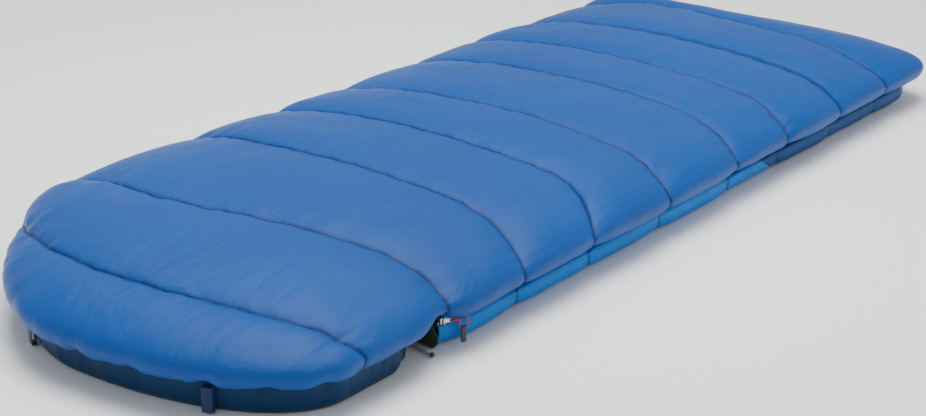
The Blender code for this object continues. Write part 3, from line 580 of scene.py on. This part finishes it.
def nylon(name, colour, roughness):
    """Shiny thin nylon: a faint even weave, soft crumples, painted shade in a narrow band along
    each seam, and darker dashes of stitching on it.
    """
    finish = Finish(name, colour, roughness, coat=0.04)
    finish.shader.inputs["Specular IOR Level"].default_value = NYLON_SPECULAR
    broad = finish.cloud(2.4, 3.0, 0.55, warp=0.4)
    fine = finish.cloud(46.0, 4.0, 0.6, stretch=(0.5, 1.0, 1.0), warp=0.8)
    seam = finish.stored("seam")
    stitch = ((finish.stored("run") * (math.tau / STITCH_PITCH)).wave() > -0.3) * (seam ** 6.0)
    red, green, blue = colour
    tone = finish.shade(broad, 0.80, 1.22)
    # Painted shade: the cloth is darkened in a narrow band along each quilting seam, where it dips.
    tone = finish.mix(seam * 0.85, tone, (red * 0.3, green * 0.3, blue * 0.36, 1.0))
    tone = finish.mix(stitch * 0.6, tone, (red * 0.2, green * 0.2, blue * 0.25, 1.0))
    finish.feed(Base_Color=tone)
    finish.feed(Roughness=fine * 0.14 + (roughness - 0.07))
    x, y, z = (finish.place(axis) for axis in range(3))
    threads = math.tau / THREAD_PITCH
    weave = ((x + z) * threads).wave() * ((y + z) * threads).wave()
    creases = finish.cloud(9.0, 5.0, 0.55, stretch=(0.45, 1.0, 1.0), warp=1.4)
    normal = finish.bump(creases, CREASE_DEPTH, 0.55)
    normal = finish.bump(fine, CRUMPLE_DEPTH, 0.6, normal)
    normal = finish.bump(weave - stitch * 2.0, WEAVE_DEPTH, 0.6, normal)
    finish.feed(Normal=normal)
    return finish


def thick_cloth(piece, thickness):
    """Gives a single sheet its thickness, inward."""
    layer = piece.modifiers.new("cloth", "SOLIDIFY")
    layer.thickness = thickness
    layer.offset = -1.0
    return piece


SHELL_CLOTH = 0.0012
cover = pad_surface(dome_section, CHAMBER_ROWS, HEAD_ROWS, FOOT_ROWS, ROWS_ACROSS)
add_hood_edges(cover, SEAM_CUTS)
add_straight_edges(cover, SEAMS[7], SEAM_CUTS)
quilted(cover, VALLEY, PUCKER, GATHER, CROWN_Z, CREASE_Z)
pinch_at_neck(cover)
back_cover = thick_cloth(link_mesh("back_quilted_cover", cover), SHELL_CLOTH)
shell_nylon = nylon("dark_blue_nylon", SHELL_BLUE, 0.40)
shell_nylon.on(back_cover)
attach(back_cover, "back_half")
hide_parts("back_shell")

# Wadding: one loose batt of hollow polyester fibre in each chamber of both halves, a little
# smaller than the chamber so that the cloth can pucker over it.

WADDING_WHITE = (0.78, 0.79, 0.76)
CREST_DROP, FLOOR_LIFT = 0.022, 0.0150
FRONT_DROP, FRONT_LIFT = 0.012, 0.006
DROP_LOW, DROP_RUN = 0.066, 0.040  # where the crest starts to drop, and over what height
SIDE_START, SIDE_RUN, SIDE_SHRINK = 0.37, 0.05, 0.10
BATT_LENGTH = 0.86
END_BATTS = {1: (0.66, 0.80), 10: (0.66, 0.92)}  # length and width of the two rounded ends

fibre = Finish("polyester_wadding", WADDING_WHITE, 0.95, sheen=0.3)
fluff = fibre.cloud(60.0, 6.0, 0.7, warp=2.0)
fibre.feed(Base_Color=fibre.shade(fluff, 0.75, 1.05), Normal=fibre.bump(fluff, 0.004, 0.8))


def merged_copy(node):
    """A CAD node's mesh with its triangles joined, to be shaped further."""
    mesh = bmesh.new()
    mesh.from_mesh(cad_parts[node].data)
    bmesh.ops.remove_doubles(mesh, verts=mesh.verts[:], dist=1e-5)
    return mesh


def wadding_batt(node, body, crest_drop, floor_lift, low, length=BATT_LENGTH, width=1.0):
    """The node's chamber of fibre, drawn in so that it stays clear of the puckered cloth."""
    mesh = merged_copy(node)
    mesh.normal_update()
    middle = sum((vert.co.x for vert in mesh.verts)) / len(mesh.verts)
    moves = []
    for vert in mesh.verts:
        x, y, z = vert.co
        if vert.normal.z > 0.1:
            z -= crest_drop * eased((z - low) / DROP_RUN)
        elif z > 0.002:
            z += floor_lift
        y *= (1 - SIDE_SHRINK * eased((abs(y) - SIDE_START) / SIDE_RUN)) * width
        moves.append((vert, Vector((middle + (x - middle) * length, y, z))))
    for vert, place in moves:
        vert.co = place
    batt = link_mesh(node + "_batt", mesh)
    fibre.on(batt)
    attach(batt, body)
    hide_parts(node)


for number in range(1, 11):
    node = f"back_wadding_{number:02d}"
    batt_size = END_BATTS.get(number, (BATT_LENGTH, 1.0))
    wadding_batt(node, "back_half", CREST_DROP, FLOOR_LIFT, DROP_LOW, *batt_size)
for number in range(1, 9):
    wadding_batt(f"front_wadding_{number:02d}", "front_half", FRONT_DROP, FRONT_LIFT, 0.0)

# Back lining: dark green brushed nylon that arches over the sleeping space, sewn to the same
# seams as the cover and a little slack between them.

LINING_GREEN = (0.012, 0.040, 0.026)
LINING_INSET = 0.0088
LINING_CLOTH = 0.0010
LINING_CLEARANCE = 0.0008
LINING_RISE = 0.0655
ARCH_START, ARCH_RUN = 0.050, 0.125  # insets over which the arch rises
LINING_VALLEY, LINING_PUCKER, LINING_SWAY = 0.0040, 0.0014, 0.3
LINING_CUTS = (-0.006, 0.0, 0.006)


def brushed(name, colour):
    """Brushed lining cloth: soft, matt, with small crumples and painted shade along the stitched
    lines.
    """
    finish = Finish(name, colour, 0.66, sheen=0.5)
    broad = finish.cloud(5.0, 4.0, 0.6, warp=0.8)
    nap = finish.cloud(320.0, 3.0, 0.6)
    seam = finish.stored("seam")
    tone = finish.shade(broad, 0.7, 1.35)
    # Painted shade: darker in a narrow band along each quilting seam.
    tone = finish.mix(seam * 0.6, tone, (*(part * 0.4 for part in colour), 1.0))
    crumples = finish.cloud(22.0, 4.0, 0.6, warp=1.0)
    normal = finish.bump(crumples, 0.005, 0.6)
    normal = finish.bump(nap, 0.0003, 0.7, normal)
    finish.feed(Base_Color=tone, Roughness=nap * 0.2 + 0.56, Normal=normal)
    return finish


def arch_section(ring):
    """The lining's section from the middle of the arch (0) to its sewn edge (1)."""
    inset = HALF - (HALF - LINING_INSET) * ring
    rise = LINING_RISE * eased((inset - ARCH_START) / ARCH_RUN)
    return inset, EDGE_Z + LINING_CLEARANCE + rise


lining_mesh = pad_surface(arch_section, 12, 40, 34, 72)
bmesh.ops.reverse_faces(lining_mesh, faces=lining_mesh.faces[:])
add_hood_edges(lining_mesh, LINING_CUTS)
add_straight_edges(lining_mesh, SEAMS[7], LINING_CUTS)
lining_top = EDGE_Z + LINING_RISE
quilted(lining_mesh, LINING_VALLEY, LINING_PUCKER, 0.0, lining_top, EDGE_Z, LINING_SWAY)
back_lining = thick_cloth(link_mesh("back_lining_quilted", lining_mesh), LINING_CLOTH)
green_cloth = brushed("green_brushed_lining", LINING_GREEN)
green_cloth.on(back_lining)
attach(back_lining, "back_half")
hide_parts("back_lining")

# Front half: a flatter pad under the back one, brighter blue as far as the slanted seam where
# its dark blue foot panel begins, and quilted on the same lines.

NECK_X = -0.670
FRONT_EDGE_Z = 0.043
FOOT_PANEL_X, FOOT_PANEL_Z = 0.436, 0.025
PANEL_SLANT = Vector((0.54, 0.0, 0.84))
LIGHT_BLUE = (0.0, 0.150, 0.52)
FOOT_BLUE = (0.0, 0.048, 0.190)
GROUND_GAP = 0.0003
TAPER_END, TAPER_RUN, TAPER = -0.585, 0.085, 0.030  # the pad narrows a little to its neck
FRONT_VALLEY, FRONT_PUCKER, FRONT_GATHER = 0.0030, 0.0016, 0.0012
TRAY = (  # share of the ring, inset and height, from the middle underneath to the sewn edge
    (0.00, 0.410, 0.0000),
    (0.70, 0.046, 0.0000),
    (0.77, 0.018, 0.0012),
    (0.81, 0.002, 0.0060),
    (0.85, -0.006, 0.0140),
    (0.89, -0.0085, 0.0240),
    (0.93, -0.0080, 0.0330),
    (0.96, -0.0055, 0.0400),
    (0.98, -0.0015, 0.0425),
    (1.00, 0.0058, 0.0430),
)


def tray_section(ring):
    """The front shell's section from the middle underneath (0) to its sewn edge (1)."""
    for (low, inset_a, height_a), (high, inset_b, height_b) in zip(TRAY, TRAY[1:]):
        if ring <= high:
            t = (ring - low) / (high - low)
            return inset_a + (inset_b - inset_a) * t, height_a + (height_b - height_a) * t
    return TRAY[-1][1:]


def trim(mesh, place, normal, keep_past):
    """Cuts the mesh at a plane and drops one side of it."""
    everything = mesh.verts[:] + mesh.edges[:] + mesh.faces[:]
    spot = Vector(place)
    options = {"clear_inner": keep_past, "clear_outer": not keep_past}
    bmesh.ops.bisect_plane(mesh, geom=everything, plane_co=spot, plane_no=Vector(normal), **options)


def front_cloth(name, node, finish, past_panel):
    """One of the front half's two shell panels."""
    mesh = pad_surface(tray_section, 16, 0, 60, 120)
    raised = [vert for vert in mesh.verts if vert.co.z > 0.001]
    bmesh.ops.smooth_vert(mesh, verts=raised, factor=0.5)
    bmesh.ops.reverse_faces(mesh, faces=mesh.faces[:])
    trim(mesh, (NECK_X, 0, 0), (1, 0, 0), True)
    trim(mesh, (FOOT_PANEL_X, 0, FOOT_PANEL_Z), PANEL_SLANT, past_panel)
    add_straight_edges(mesh, SEAMS[7], LINING_CUTS)
    quilted(mesh, FRONT_VALLEY, FRONT_PUCKER, FRONT_GATHER, 0.0, FRONT_EDGE_Z)
    for vert in mesh.verts:
        vert.co.z = max(vert.co.z, GROUND_GAP)
        near_neck = eased((TAPER_END - vert.co.x) / TAPER_RUN)
        vert.co.y *= 1 - TAPER * near_neck
        if not past_panel:
            vert.co.x = max(vert.co.x, NECK_X)
    panel = thick_cloth(link_mesh(name, mesh), SHELL_CLOTH)
    finish.on(panel)
    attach(panel, "front_half")
    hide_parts(node)


light_nylon = nylon("light_blue_nylon", LIGHT_BLUE, 0.42)
foot_nylon = nylon("foot_blue_nylon", FOOT_BLUE, 0.42)
front_cloth("front_light_panel", "front_shell_panel", light_nylon, False)
front_cloth("front_foot_panel_cloth", "front_foot_panel", foot_nylon, True)

# Front lining: the same green cloth, laid flat on the front pad and quilted with it.

FRONT_LINING_Z = 0.0424
BINDING_ROOM = 0.009  # the lining stops short of the neck, under the binding
FLAT_VALLEY = 0.0045


def flat_section(ring):
    """The front lining's section: flat from the middle (0) to its sewn edge (1)."""
    return HALF - (HALF - LINING_INSET) * ring, FRONT_LINING_Z


front_mesh = pad_surface(flat_section, 12, 0, 34, 72)
trim(front_mesh, (NECK_X + BINDING_ROOM, 0, 0), (1, 0, 0), True)
quilted(front_mesh, FLAT_VALLEY, LINING_PUCKER, 0.0, 0.0, FRONT_EDGE_Z, LINING_SWAY)
for vert in front_mesh.verts:
    vert.co.z = min(vert.co.z, FRONT_EDGE_Z)
front_lining = thick_cloth(link_mesh("front_lining_quilted", front_mesh), LINING_CLOTH)
green_cloth.on(front_lining)
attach(front_lining, "front_half")
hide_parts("front_lining")

# Neck facing: the green strip that closes the wadding's end under the binding.

FACING_HALF, FACING_SWELL = 0.395, 0.013
FACING_LOW, FACING_HEIGHT, FACING_GAP = 0.0008, 0.0425, 0.0012
FACING_WAVE = 0.0022

facing_mesh = bmesh.new()
bmesh.ops.create_grid(facing_mesh, x_segments=160, y_segments=6, size=1.0)
facing_mesh.verts.layers.float.new("seam")
facing_mesh.verts.layers.float.new("run")
for vert in facing_mesh.verts:
    rise = (vert.co.y + 1) / 2
    y = vert.co.x * (FACING_HALF + FACING_SWELL * math.sin(math.pi * min(rise * 1.15, 1.0)))
    wave = FACING_WAVE * ripple(0.0, y, rise * 0.05, 26.0, 8.0)
    height = FACING_LOW + FACING_HEIGHT * rise
    vert.co = (NECK_X + FACING_GAP + wave * (1 - rise), y, height)
neck_facing = thick_cloth(link_mesh("front_neck_facing", facing_mesh), LINING_CLOTH)
neck_facing.modifiers["cloth"].offset = 0.0
green_cloth.on(neck_facing)
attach(neck_facing, "front_half")

# Hood rim: the cover turns under around the face opening over a soft roll in lining cloth; its
# outer wall is gathered by the seam above it, and a narrow hem along its inner edge holds the
# drawcord.

RIM_END_X = -0.732
RIM_COVER = (  # inset and height, from the gathered seam over the outside to the inner edge
    (0.0058, 0.0540),
    (-0.0085, 0.0520),
    (-0.0100, 0.0430),
    (-0.0080, 0.0290),
    (-0.0030, 0.0120),
    (0.0080, 0.0010),
    (0.0200, 0.0004),
    (0.0440, 0.0003),
    (0.0770, 0.0006),
    (0.0830, 0.0055),
)
RIM_ROLL = (
    (0.0100, 0.0505),
    (0.0024, 0.0440),
    (-0.0008, 0.0300),
    (0.0030, 0.0140),
    (0.0130, 0.0034),
    (0.0440, 0.0028),
    (0.0740, 0.0030),
    (0.0780, 0.0080),
    (0.0600, 0.0300),
    (0.0350, 0.0480),
)
RIM_STEPS = 300
RIM_MIDDLE = 0.050  # the rim narrows towards this inset at its zip-side end
RIM_NARROW_FROM, RIM_NARROW_RUN = -0.90, 0.10
RIM_NARROWING, RIM_LOWERING = 0.45, 0.35
RIM_GATHER, RIM_TUCK = 0.0036, 0.0055
# The shell's blue darkened: painted shadow for the cloth that lies under the padded bulge and in
# the neck's opening.
PAINTED_SHADOW_BLUE = (0.0, 0.026, 0.082)


def rim_point(inset, t):
    """A point of the rim's path: t runs from the zip side (-1) round the head to the fold (1)."""
    side = -1 if t < 0 else 1
    return outline_point(inset, abs(t), side, True, RIM_END_X if side < 0 else None)


def fine_section(section, steps, closed):
    """A smooth section through given points."""
    points = [Vector((inset, height, 0.0)) for inset, height in section]
    if closed:
        points = points[-1:] + points + points[:1]
        return smooth_route(points, steps)[steps:-steps - 1]
    return smooth_route(points, steps)


def swept_cloth(path, section, count, closed, wrinkle):
    """A section swept along a path; wrinkle gives each point's push along the inset axis."""
    around = len(section)
    mesh = bmesh.new()
    rows = around if closed else around - 1
    bmesh.ops.create_grid(mesh, x_segments=count, y_segments=rows, size=1.0)
    near_seam = mesh.verts.layers.float.new("seam")
    run = mesh.verts.layers.float.new("run")
    for vert in mesh.verts:
        t = vert.co.x
        row = round((vert.co.y + 1) / 2 * rows)
        inset, height, _ = section[row % around]
        inset += wrinkle(t, inset, height)
        if path is rim_point:
            close = eased((RIM_NARROW_FROM - t) / RIM_NARROW_RUN)
            inset += (RIM_MIDDLE - inset) * RIM_NARROWING * close
            height *= 1 - RIM_LOWERING * close
        vert.co = (*path(inset, t), height)
        vert[near_seam] = 0.0
        vert[run] = t
    if closed:
        bmesh.ops.remove_doubles(mesh, verts=mesh.verts[:], dist=1e-6)
        for _ in range(2):
            rim = [edge for edge in mesh.edges if edge.is_boundary]
            if rim:
                bmesh.ops.holes_fill(mesh, edges=rim, sides=0)
        bmesh.ops.recalc_face_normals(mesh, faces=mesh.faces[:])
    return mesh


def gathered(t, inset, height):
    """Gathers that hang from the seam above the rim, deepest where the hood is tucked."""
    place = rim_point(0.0, t)
    angle = math.atan2(place[1], place[0] - SEAMS[0])
    low = eased(height / 0.05)
    crimp = noise.noise(Vector((angle * HALF * CRIMP + 11.0, -11.0, height * 5.0)))
    crimp += 0.7 * noise.noise(Vector((angle * HALF * FINE_CRIMP, 4.0, height * 8.0)))
    tucks = tuck_pull(place[0], place[1], 2.4)
    return (RIM_GATHER * crimp + RIM_TUCK * tucks) * low


# A darker copy of the shell nylon, with painted shadow, for the hood rim, the drawcord's hem and
# the neck binding.
shadow_painted_nylon = nylon("shell_blue_nylon_painted_shadow", PAINTED_SHADOW_BLUE, 0.44)
rim_section = fine_section(RIM_COVER, 4, False)
rim_mesh = swept_cloth(rim_point, rim_section, RIM_STEPS, False, gathered)
rim_cover = link_mesh("hood_rim_gathered_cover", rim_mesh)
thick_cloth(rim_cover, SHELL_CLOTH).modifiers["cloth"].offset = 0.0
shadow_painted_nylon.on(rim_cover)
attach(rim_cover, "back_half")
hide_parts("hood_rim_cover")


def slack(t, inset, height):
    """Small soft waves along a roll of cloth."""
    return 0.0010 * noise.noise(Vector((t * 60.0, inset * 40.0, height * 40.0)))


roll_mesh = swept_cloth(rim_point, fine_section(RIM_ROLL, 3, True), 200, True, slack)
rim_roll = link_mesh("hood_rim_lining_roll", roll_mesh)
green_cloth.on(rim_roll)
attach(rim_roll, "back_half")
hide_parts("hood_rim_padding")

TUNNEL_INSET, TUNNEL_LIFT, TUNNEL_RADIUS = 0.0872, 0.0080, 0.0034
HEM_STEPS, HEM_GATHERS, HEM_SWELL = 520, 210.0, 0.22


def ring_section(middle, height, across, up, count):
    """A round or oval section, as inset and height."""
    turns = [math.tau * step / count for step in range(count)]
    spots = [(middle + across * math.cos(turn), height + up * math.sin(turn)) for turn in turns]
    return [Vector((*spot, 0.0)) for spot in spots]


def crimped(t, inset, height):
    """Tight gathers of the drawcord's hem, outward from the cord only."""
    swell = abs(noise.noise(Vector((t * HEM_GATHERS, 3.0, 9.0)))) * HEM_SWELL
    return (inset - TUNNEL_INSET) * swell


hem_section = ring_section(TUNNEL_INSET, TUNNEL_LIFT, TUNNEL_RADIUS, TUNNEL_RADIUS, 12)
hem_mesh = swept_cloth(rim_point, hem_section, HEM_STEPS, True, crimped)
cord_hem = link_mesh("drawcord_tunnel_hem", hem_mesh)
shadow_painted_nylon.on(cord_hem)
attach(cord_hem, "back_half")
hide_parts("drawcord_tunnel")
cord_braid.on(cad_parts["hood_drawcord"])

# Neck edge, fold and draft tube: a rolled binding finishes the front half's neck; a strip of
# shell cloth joins the halves along the fold; a wadded tube lies behind the zip.

BINDING_RADIUS, BINDING_Z = 0.0022, 0.0457
BINDING_BACK, BINDING_SHORT = 0.0050, 0.0130  # back from the neck's edge, and short of its ends
ZIP_START_X = -0.634
ZIP_CORNER, ZIP_FOOT = 0.58, 0.86  # shares of the zip before the foot, and before its middle
ZIP_PAST_FOOT = 0.75  # share of the foot's fold-side half that the zip follows
DRAFT_INSET, DRAFT_Z = 0.0280, 0.0497
DRAFT_HALF_WIDTH, DRAFT_HALF_HEIGHT = 0.0148, 0.0048


def neck_line(inset, t):
    """The straight neck edge, from the zip side to the fold side."""
    return NECK_X + BINDING_BACK + inset, t * (HALF - BINDING_SHORT)


binding_section = ring_section(0.0, BINDING_Z, BINDING_RADIUS, BINDING_RADIUS, 12)
binding_mesh = swept_cloth(neck_line, binding_section, 220, True, slack)
binding = link_mesh("neck_binding_roll", binding_mesh)
shadow_painted_nylon.on(binding)
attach(binding, "front_half")
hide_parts("neck_binding")


def zip_point(inset, t):
    """A point of the zip's path: t runs from the neck (0) past the foot to the fold side (1)."""
    if t < ZIP_CORNER:
        return ZIP_START_X + (SEAMS[6] - ZIP_START_X) * t / ZIP_CORNER, -(HALF - inset)
    if t < ZIP_FOOT:
        return outline_point(inset, 1 - (t - ZIP_CORNER) / (ZIP_FOOT - ZIP_CORNER), -1, False)
    return outline_point(inset, (t - ZIP_FOOT) / (1 - ZIP_FOOT) * ZIP_PAST_FOOT, 1, False)


def draft_line(inset, t):
    """The zip's path, with t from -1 to 1."""
    return zip_point(inset, (t + 1) / 2)


draft_section = ring_section(DRAFT_INSET, DRAFT_Z, DRAFT_HALF_WIDTH, DRAFT_HALF_HEIGHT, 16)
draft_mesh = swept_cloth(draft_line, draft_section, 420, True, slack)
draft = link_mesh("draft_tube_wadded", draft_mesh)
green_cloth.on(draft)
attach(draft, "back_half")
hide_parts("draft_tube")

GUSSET_INSET, GUSSET_LOW, GUSSET_HIGH = 0.0066, 0.0436, 0.0544
GUSSET_ROWS, BLEND_MARGIN = 18, 0.0003
FOLD_START_X, FOLD_END_X = -0.660, 0.869


def fold_line(inset, t):
    """The straight fold edge, from the neck to the end of the zip."""
    middle = (FOLD_START_X + FOLD_END_X) / 2
    return middle + t * (FOLD_END_X - middle), HALF - inset


gusset_step = (GUSSET_HIGH - GUSSET_LOW) / GUSSET_ROWS
heights = [GUSSET_LOW + gusset_step * row for row in range(GUSSET_ROWS + 1)]
gusset_section = [Vector((GUSSET_INSET, height, 0.0)) for height in heights]
gusset_mesh = swept_cloth(fold_line, gusset_section, 160, False, slack)
gusset = thick_cloth(link_mesh("fold_gusset_cloth", gusset_mesh), SHELL_CLOTH)
gusset.modifiers["cloth"].offset = 0.0
shell_nylon.on(gusset)
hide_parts("fold_gusset")
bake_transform(gusset)

# Zip: woven tapes, and two moulded nylon coils, one above the other, that are wound in fine
# turns from the neck round the foot.

ZIP_INSET, ZIP_Z, COIL_OFFSET = 0.0070, 0.0490, 0.0021
COIL_ACROSS, COIL_UP, COIL_WIRE = 0.0010, 0.0017, 0.00033
COIL_PITCH, COIL_SIDES, ZIP_STATIONS = 0.0030, 8, 600
CHAIN_START_X = -0.664
TAPE_RIB = 0.0012

woven_tape = Finish("woven_zip_tape", (0.006, 0.035, 0.10), 0.85, sheen=0.3)
x, y, z = (woven_tape.place(axis) for axis in range(3))
rib = ((x + y) * (math.tau / TAPE_RIB)).wave() * 0.5 + 0.5
woven_tape.feed(Base_Color=woven_tape.shade(rib, 0.7, 1.2), Normal=woven_tape.bump(rib, 0.0003))
woven_tape.on(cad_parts["back_zip_tape"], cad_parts["front_zip_tape"])
coil_nylon = Finish("moulded_coil", (0.008, 0.045, 0.13), 0.38)
coil_grain = coil_nylon.cloud(900.0, 2.0)
coil_nylon.feed(Roughness=coil_grain * 0.2 + 0.28)


def wound_coil(node, body, start, side):
    """One of the zip's two coils, as a fine spiral of round wire."""
    stations = [step / ZIP_STATIONS for step in range(ZIP_STATIONS + 1)]
    path = [Vector((*zip_point(ZIP_INSET, t), 0.0)) for t in stations]
    path[0].x = start
    points, travelled = [], 0.0
    for a, b in zip(path, path[1:]):
        step_length = (b - a).length
        if step_length < 1e-6:
            continue
        along = (b - a) / step_length
        out = Vector((along.y, -along.x, 0.0))
        count = max(round(step_length / COIL_PITCH * COIL_SIDES), 1)
        for number in range(count):
            turn = math.tau * (travelled + step_length * number / count) / COIL_PITCH
            spot = a + along * (step_length * number / count)
            spot += out * COIL_ACROSS * math.cos(turn)
            spot.z = ZIP_Z + side * COIL_OFFSET + COIL_UP * math.sin(turn)
            points.append(spot)
        travelled += step_length
    curve = bpy.data.curves.new(node + "_turns", "CURVE")
    curve.dimensions = "3D"
    curve.bevel_depth = COIL_WIRE
    curve.bevel_resolution = 0
    curve.use_fill_caps = True
    line = curve.splines.new("POLY")
    line.points.add(len(points) - 1)
    for point, spot in zip(line.points, points):
        point.co = (*spot, 1.0)
    winding = bpy.data.objects.new(node + "_turns", curve)
    bpy.context.scene.collection.objects.link(winding)
    evaluated = winding.evaluated_get(bpy.context.evaluated_depsgraph_get())
    data = bpy.data.meshes.new_from_object(evaluated)
    bpy.data.objects.remove(winding)
    coil = bpy.data.objects.new(node + "_spiral", data)
    bpy.context.scene.collection.objects.link(coil)
    for face in data.polygons:
        face.use_smooth = True
    coil_nylon.on(coil)
    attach(coil, body)
    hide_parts(node)


wound_coil("back_zip_coil", "back_half", ZIP_START_X, 1)
wound_coil("front_zip_coil", "front_half", CHAIN_START_X, -1)

# Metal and moulded trim: cast slider, pressed tab and stop, steel spring; red moulded ring and
# plunger, red webbing strap; grey moulded grip, barrel and bead. Edges are softly rounded.

FLAT_ANGLE, SHARP_ANGLE = math.radians(3), math.radians(32)
ROUNDING_STEPS = 2


def rounded_copy(node, body, width, finish):
    """A CAD piece with its flat faces joined and its sharp edges rounded."""
    mesh = merged_copy(node)
    bmesh.ops.dissolve_limit(
        mesh,
        angle_limit=FLAT_ANGLE,
        use_dissolve_boundaries=False,
        verts=mesh.verts[:],
        edges=mesh.edges[:],
    )
    sharp = [edge for edge in mesh.edges if edge.calc_face_angle(0.0) > SHARP_ANGLE]
    bmesh.ops.bevel(
        mesh,
        geom=sharp,
        offset=width,
        offset_type="OFFSET",
        segments=ROUNDING_STEPS,
        profile=0.5,
        affect="EDGES",
        material=-1,
        clamp_overlap=True,
    )
    bmesh.ops.triangulate(mesh, faces=mesh.faces[:])
    piece = link_mesh(node + "_finished", mesh)
    finish.on(piece)
    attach(piece, body)
    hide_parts(node)


cast_metal = Finish("cast_nickel", (0.62, 0.62, 0.60), 0.32, metallic=1.0)
wear = cast_metal.cloud(240.0, 4.0, 0.6)
cast_metal.feed(Roughness=wear * 0.25 + 0.20, Normal=cast_metal.bump(wear, 0.00008))
cast_metal.feed(Base_Color=cast_metal.shade(wear, 0.75, 1.15))
red_mould = Finish("red_moulding", (0.42, 0.014, 0.010), 0.40)
grain = red_mould.cloud(700.0, 3.0)
red_mould.feed(Roughness=grain * 0.2 + 0.32, Normal=red_mould.bump(grain, 0.00006))
red_mould.feed(Base_Color=red_mould.shade(red_mould.cloud(60.0), 0.75, 1.25))
red_web = Finish("red_webbing", (0.50, 0.020, 0.012), 0.75, sheen=0.3)
x, y, z = (red_web.place(axis) for axis in range(3))
red_ribs = math.tau / 0.0009
ribs = ((x + z) * red_ribs).wave() * ((y + z) * red_ribs).wave()
red_web.feed(Normal=red_web.bump(ribs, 0.00025))
red_web.feed(Base_Color=red_web.shade(ribs * 0.5 + 0.5, 0.7, 1.2))
grey_mould = Finish("dark_grey_moulding", (0.050, 0.043, 0.060), 0.50)
lines = (grey_mould.place(2) * (math.tau / 0.0022)).wave()
matte = grey_mould.cloud(800.0, 3.0)
grey_mould.feed(Roughness=matte * 0.2 + 0.42, Normal=grey_mould.bump(lines * 0.5 + matte, 0.0002))
grey_mould.feed(Base_Color=grey_mould.shade(grey_mould.cloud(90.0), 0.8, 1.2))

rounded_copy("zip_slider", "slider", 0.0004, cast_metal)
rounded_copy("zip_stop", "front_half", 0.0003, cast_metal)
rounded_copy("pull_tab", "pull", 0.0003, cast_metal)
cast_metal.on(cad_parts["cord_lock_spring"])
rounded_copy("pull_strap", "pull", 0.0002, red_web)
rounded_copy("pull_ring", "pull", 0.0003, red_mould)
rounded_copy("cord_lock_plunger", "lock_plunger", 0.0004, red_mould)
rounded_copy("pull_grip", "grip", 0.0006, grey_mould)
rounded_copy("cord_lock_barrel", "back_half", 0.0005, grey_mould)
grey_mould.on(end_bead)

# Hang loops: flat dark webbing, folded double and sewn into the gathered seam.

loop_web = Finish("dark_blue_webbing", (0.001, 0.030, 0.105), 0.70, sheen=0.3)
x, y, z = (loop_web.place(axis) for axis in range(3))
blue_ribs = math.tau / 0.0014
web_ribs = ((z * blue_ribs).wave() * ((x - y) * blue_ribs).wave()) * 0.5 + 0.5
loop_web.feed(Base_Color=loop_web.shade(web_ribs, 0.65, 1.25))
loop_web.feed(Normal=loop_web.bump(web_ribs, 0.0003))
rounded_copy("hang_loop_zip_side", "loop_zip_side", 0.0003, loop_web)
rounded_copy("hang_loop_fold_side", "loop_fold_side", 0.0003, loop_web)
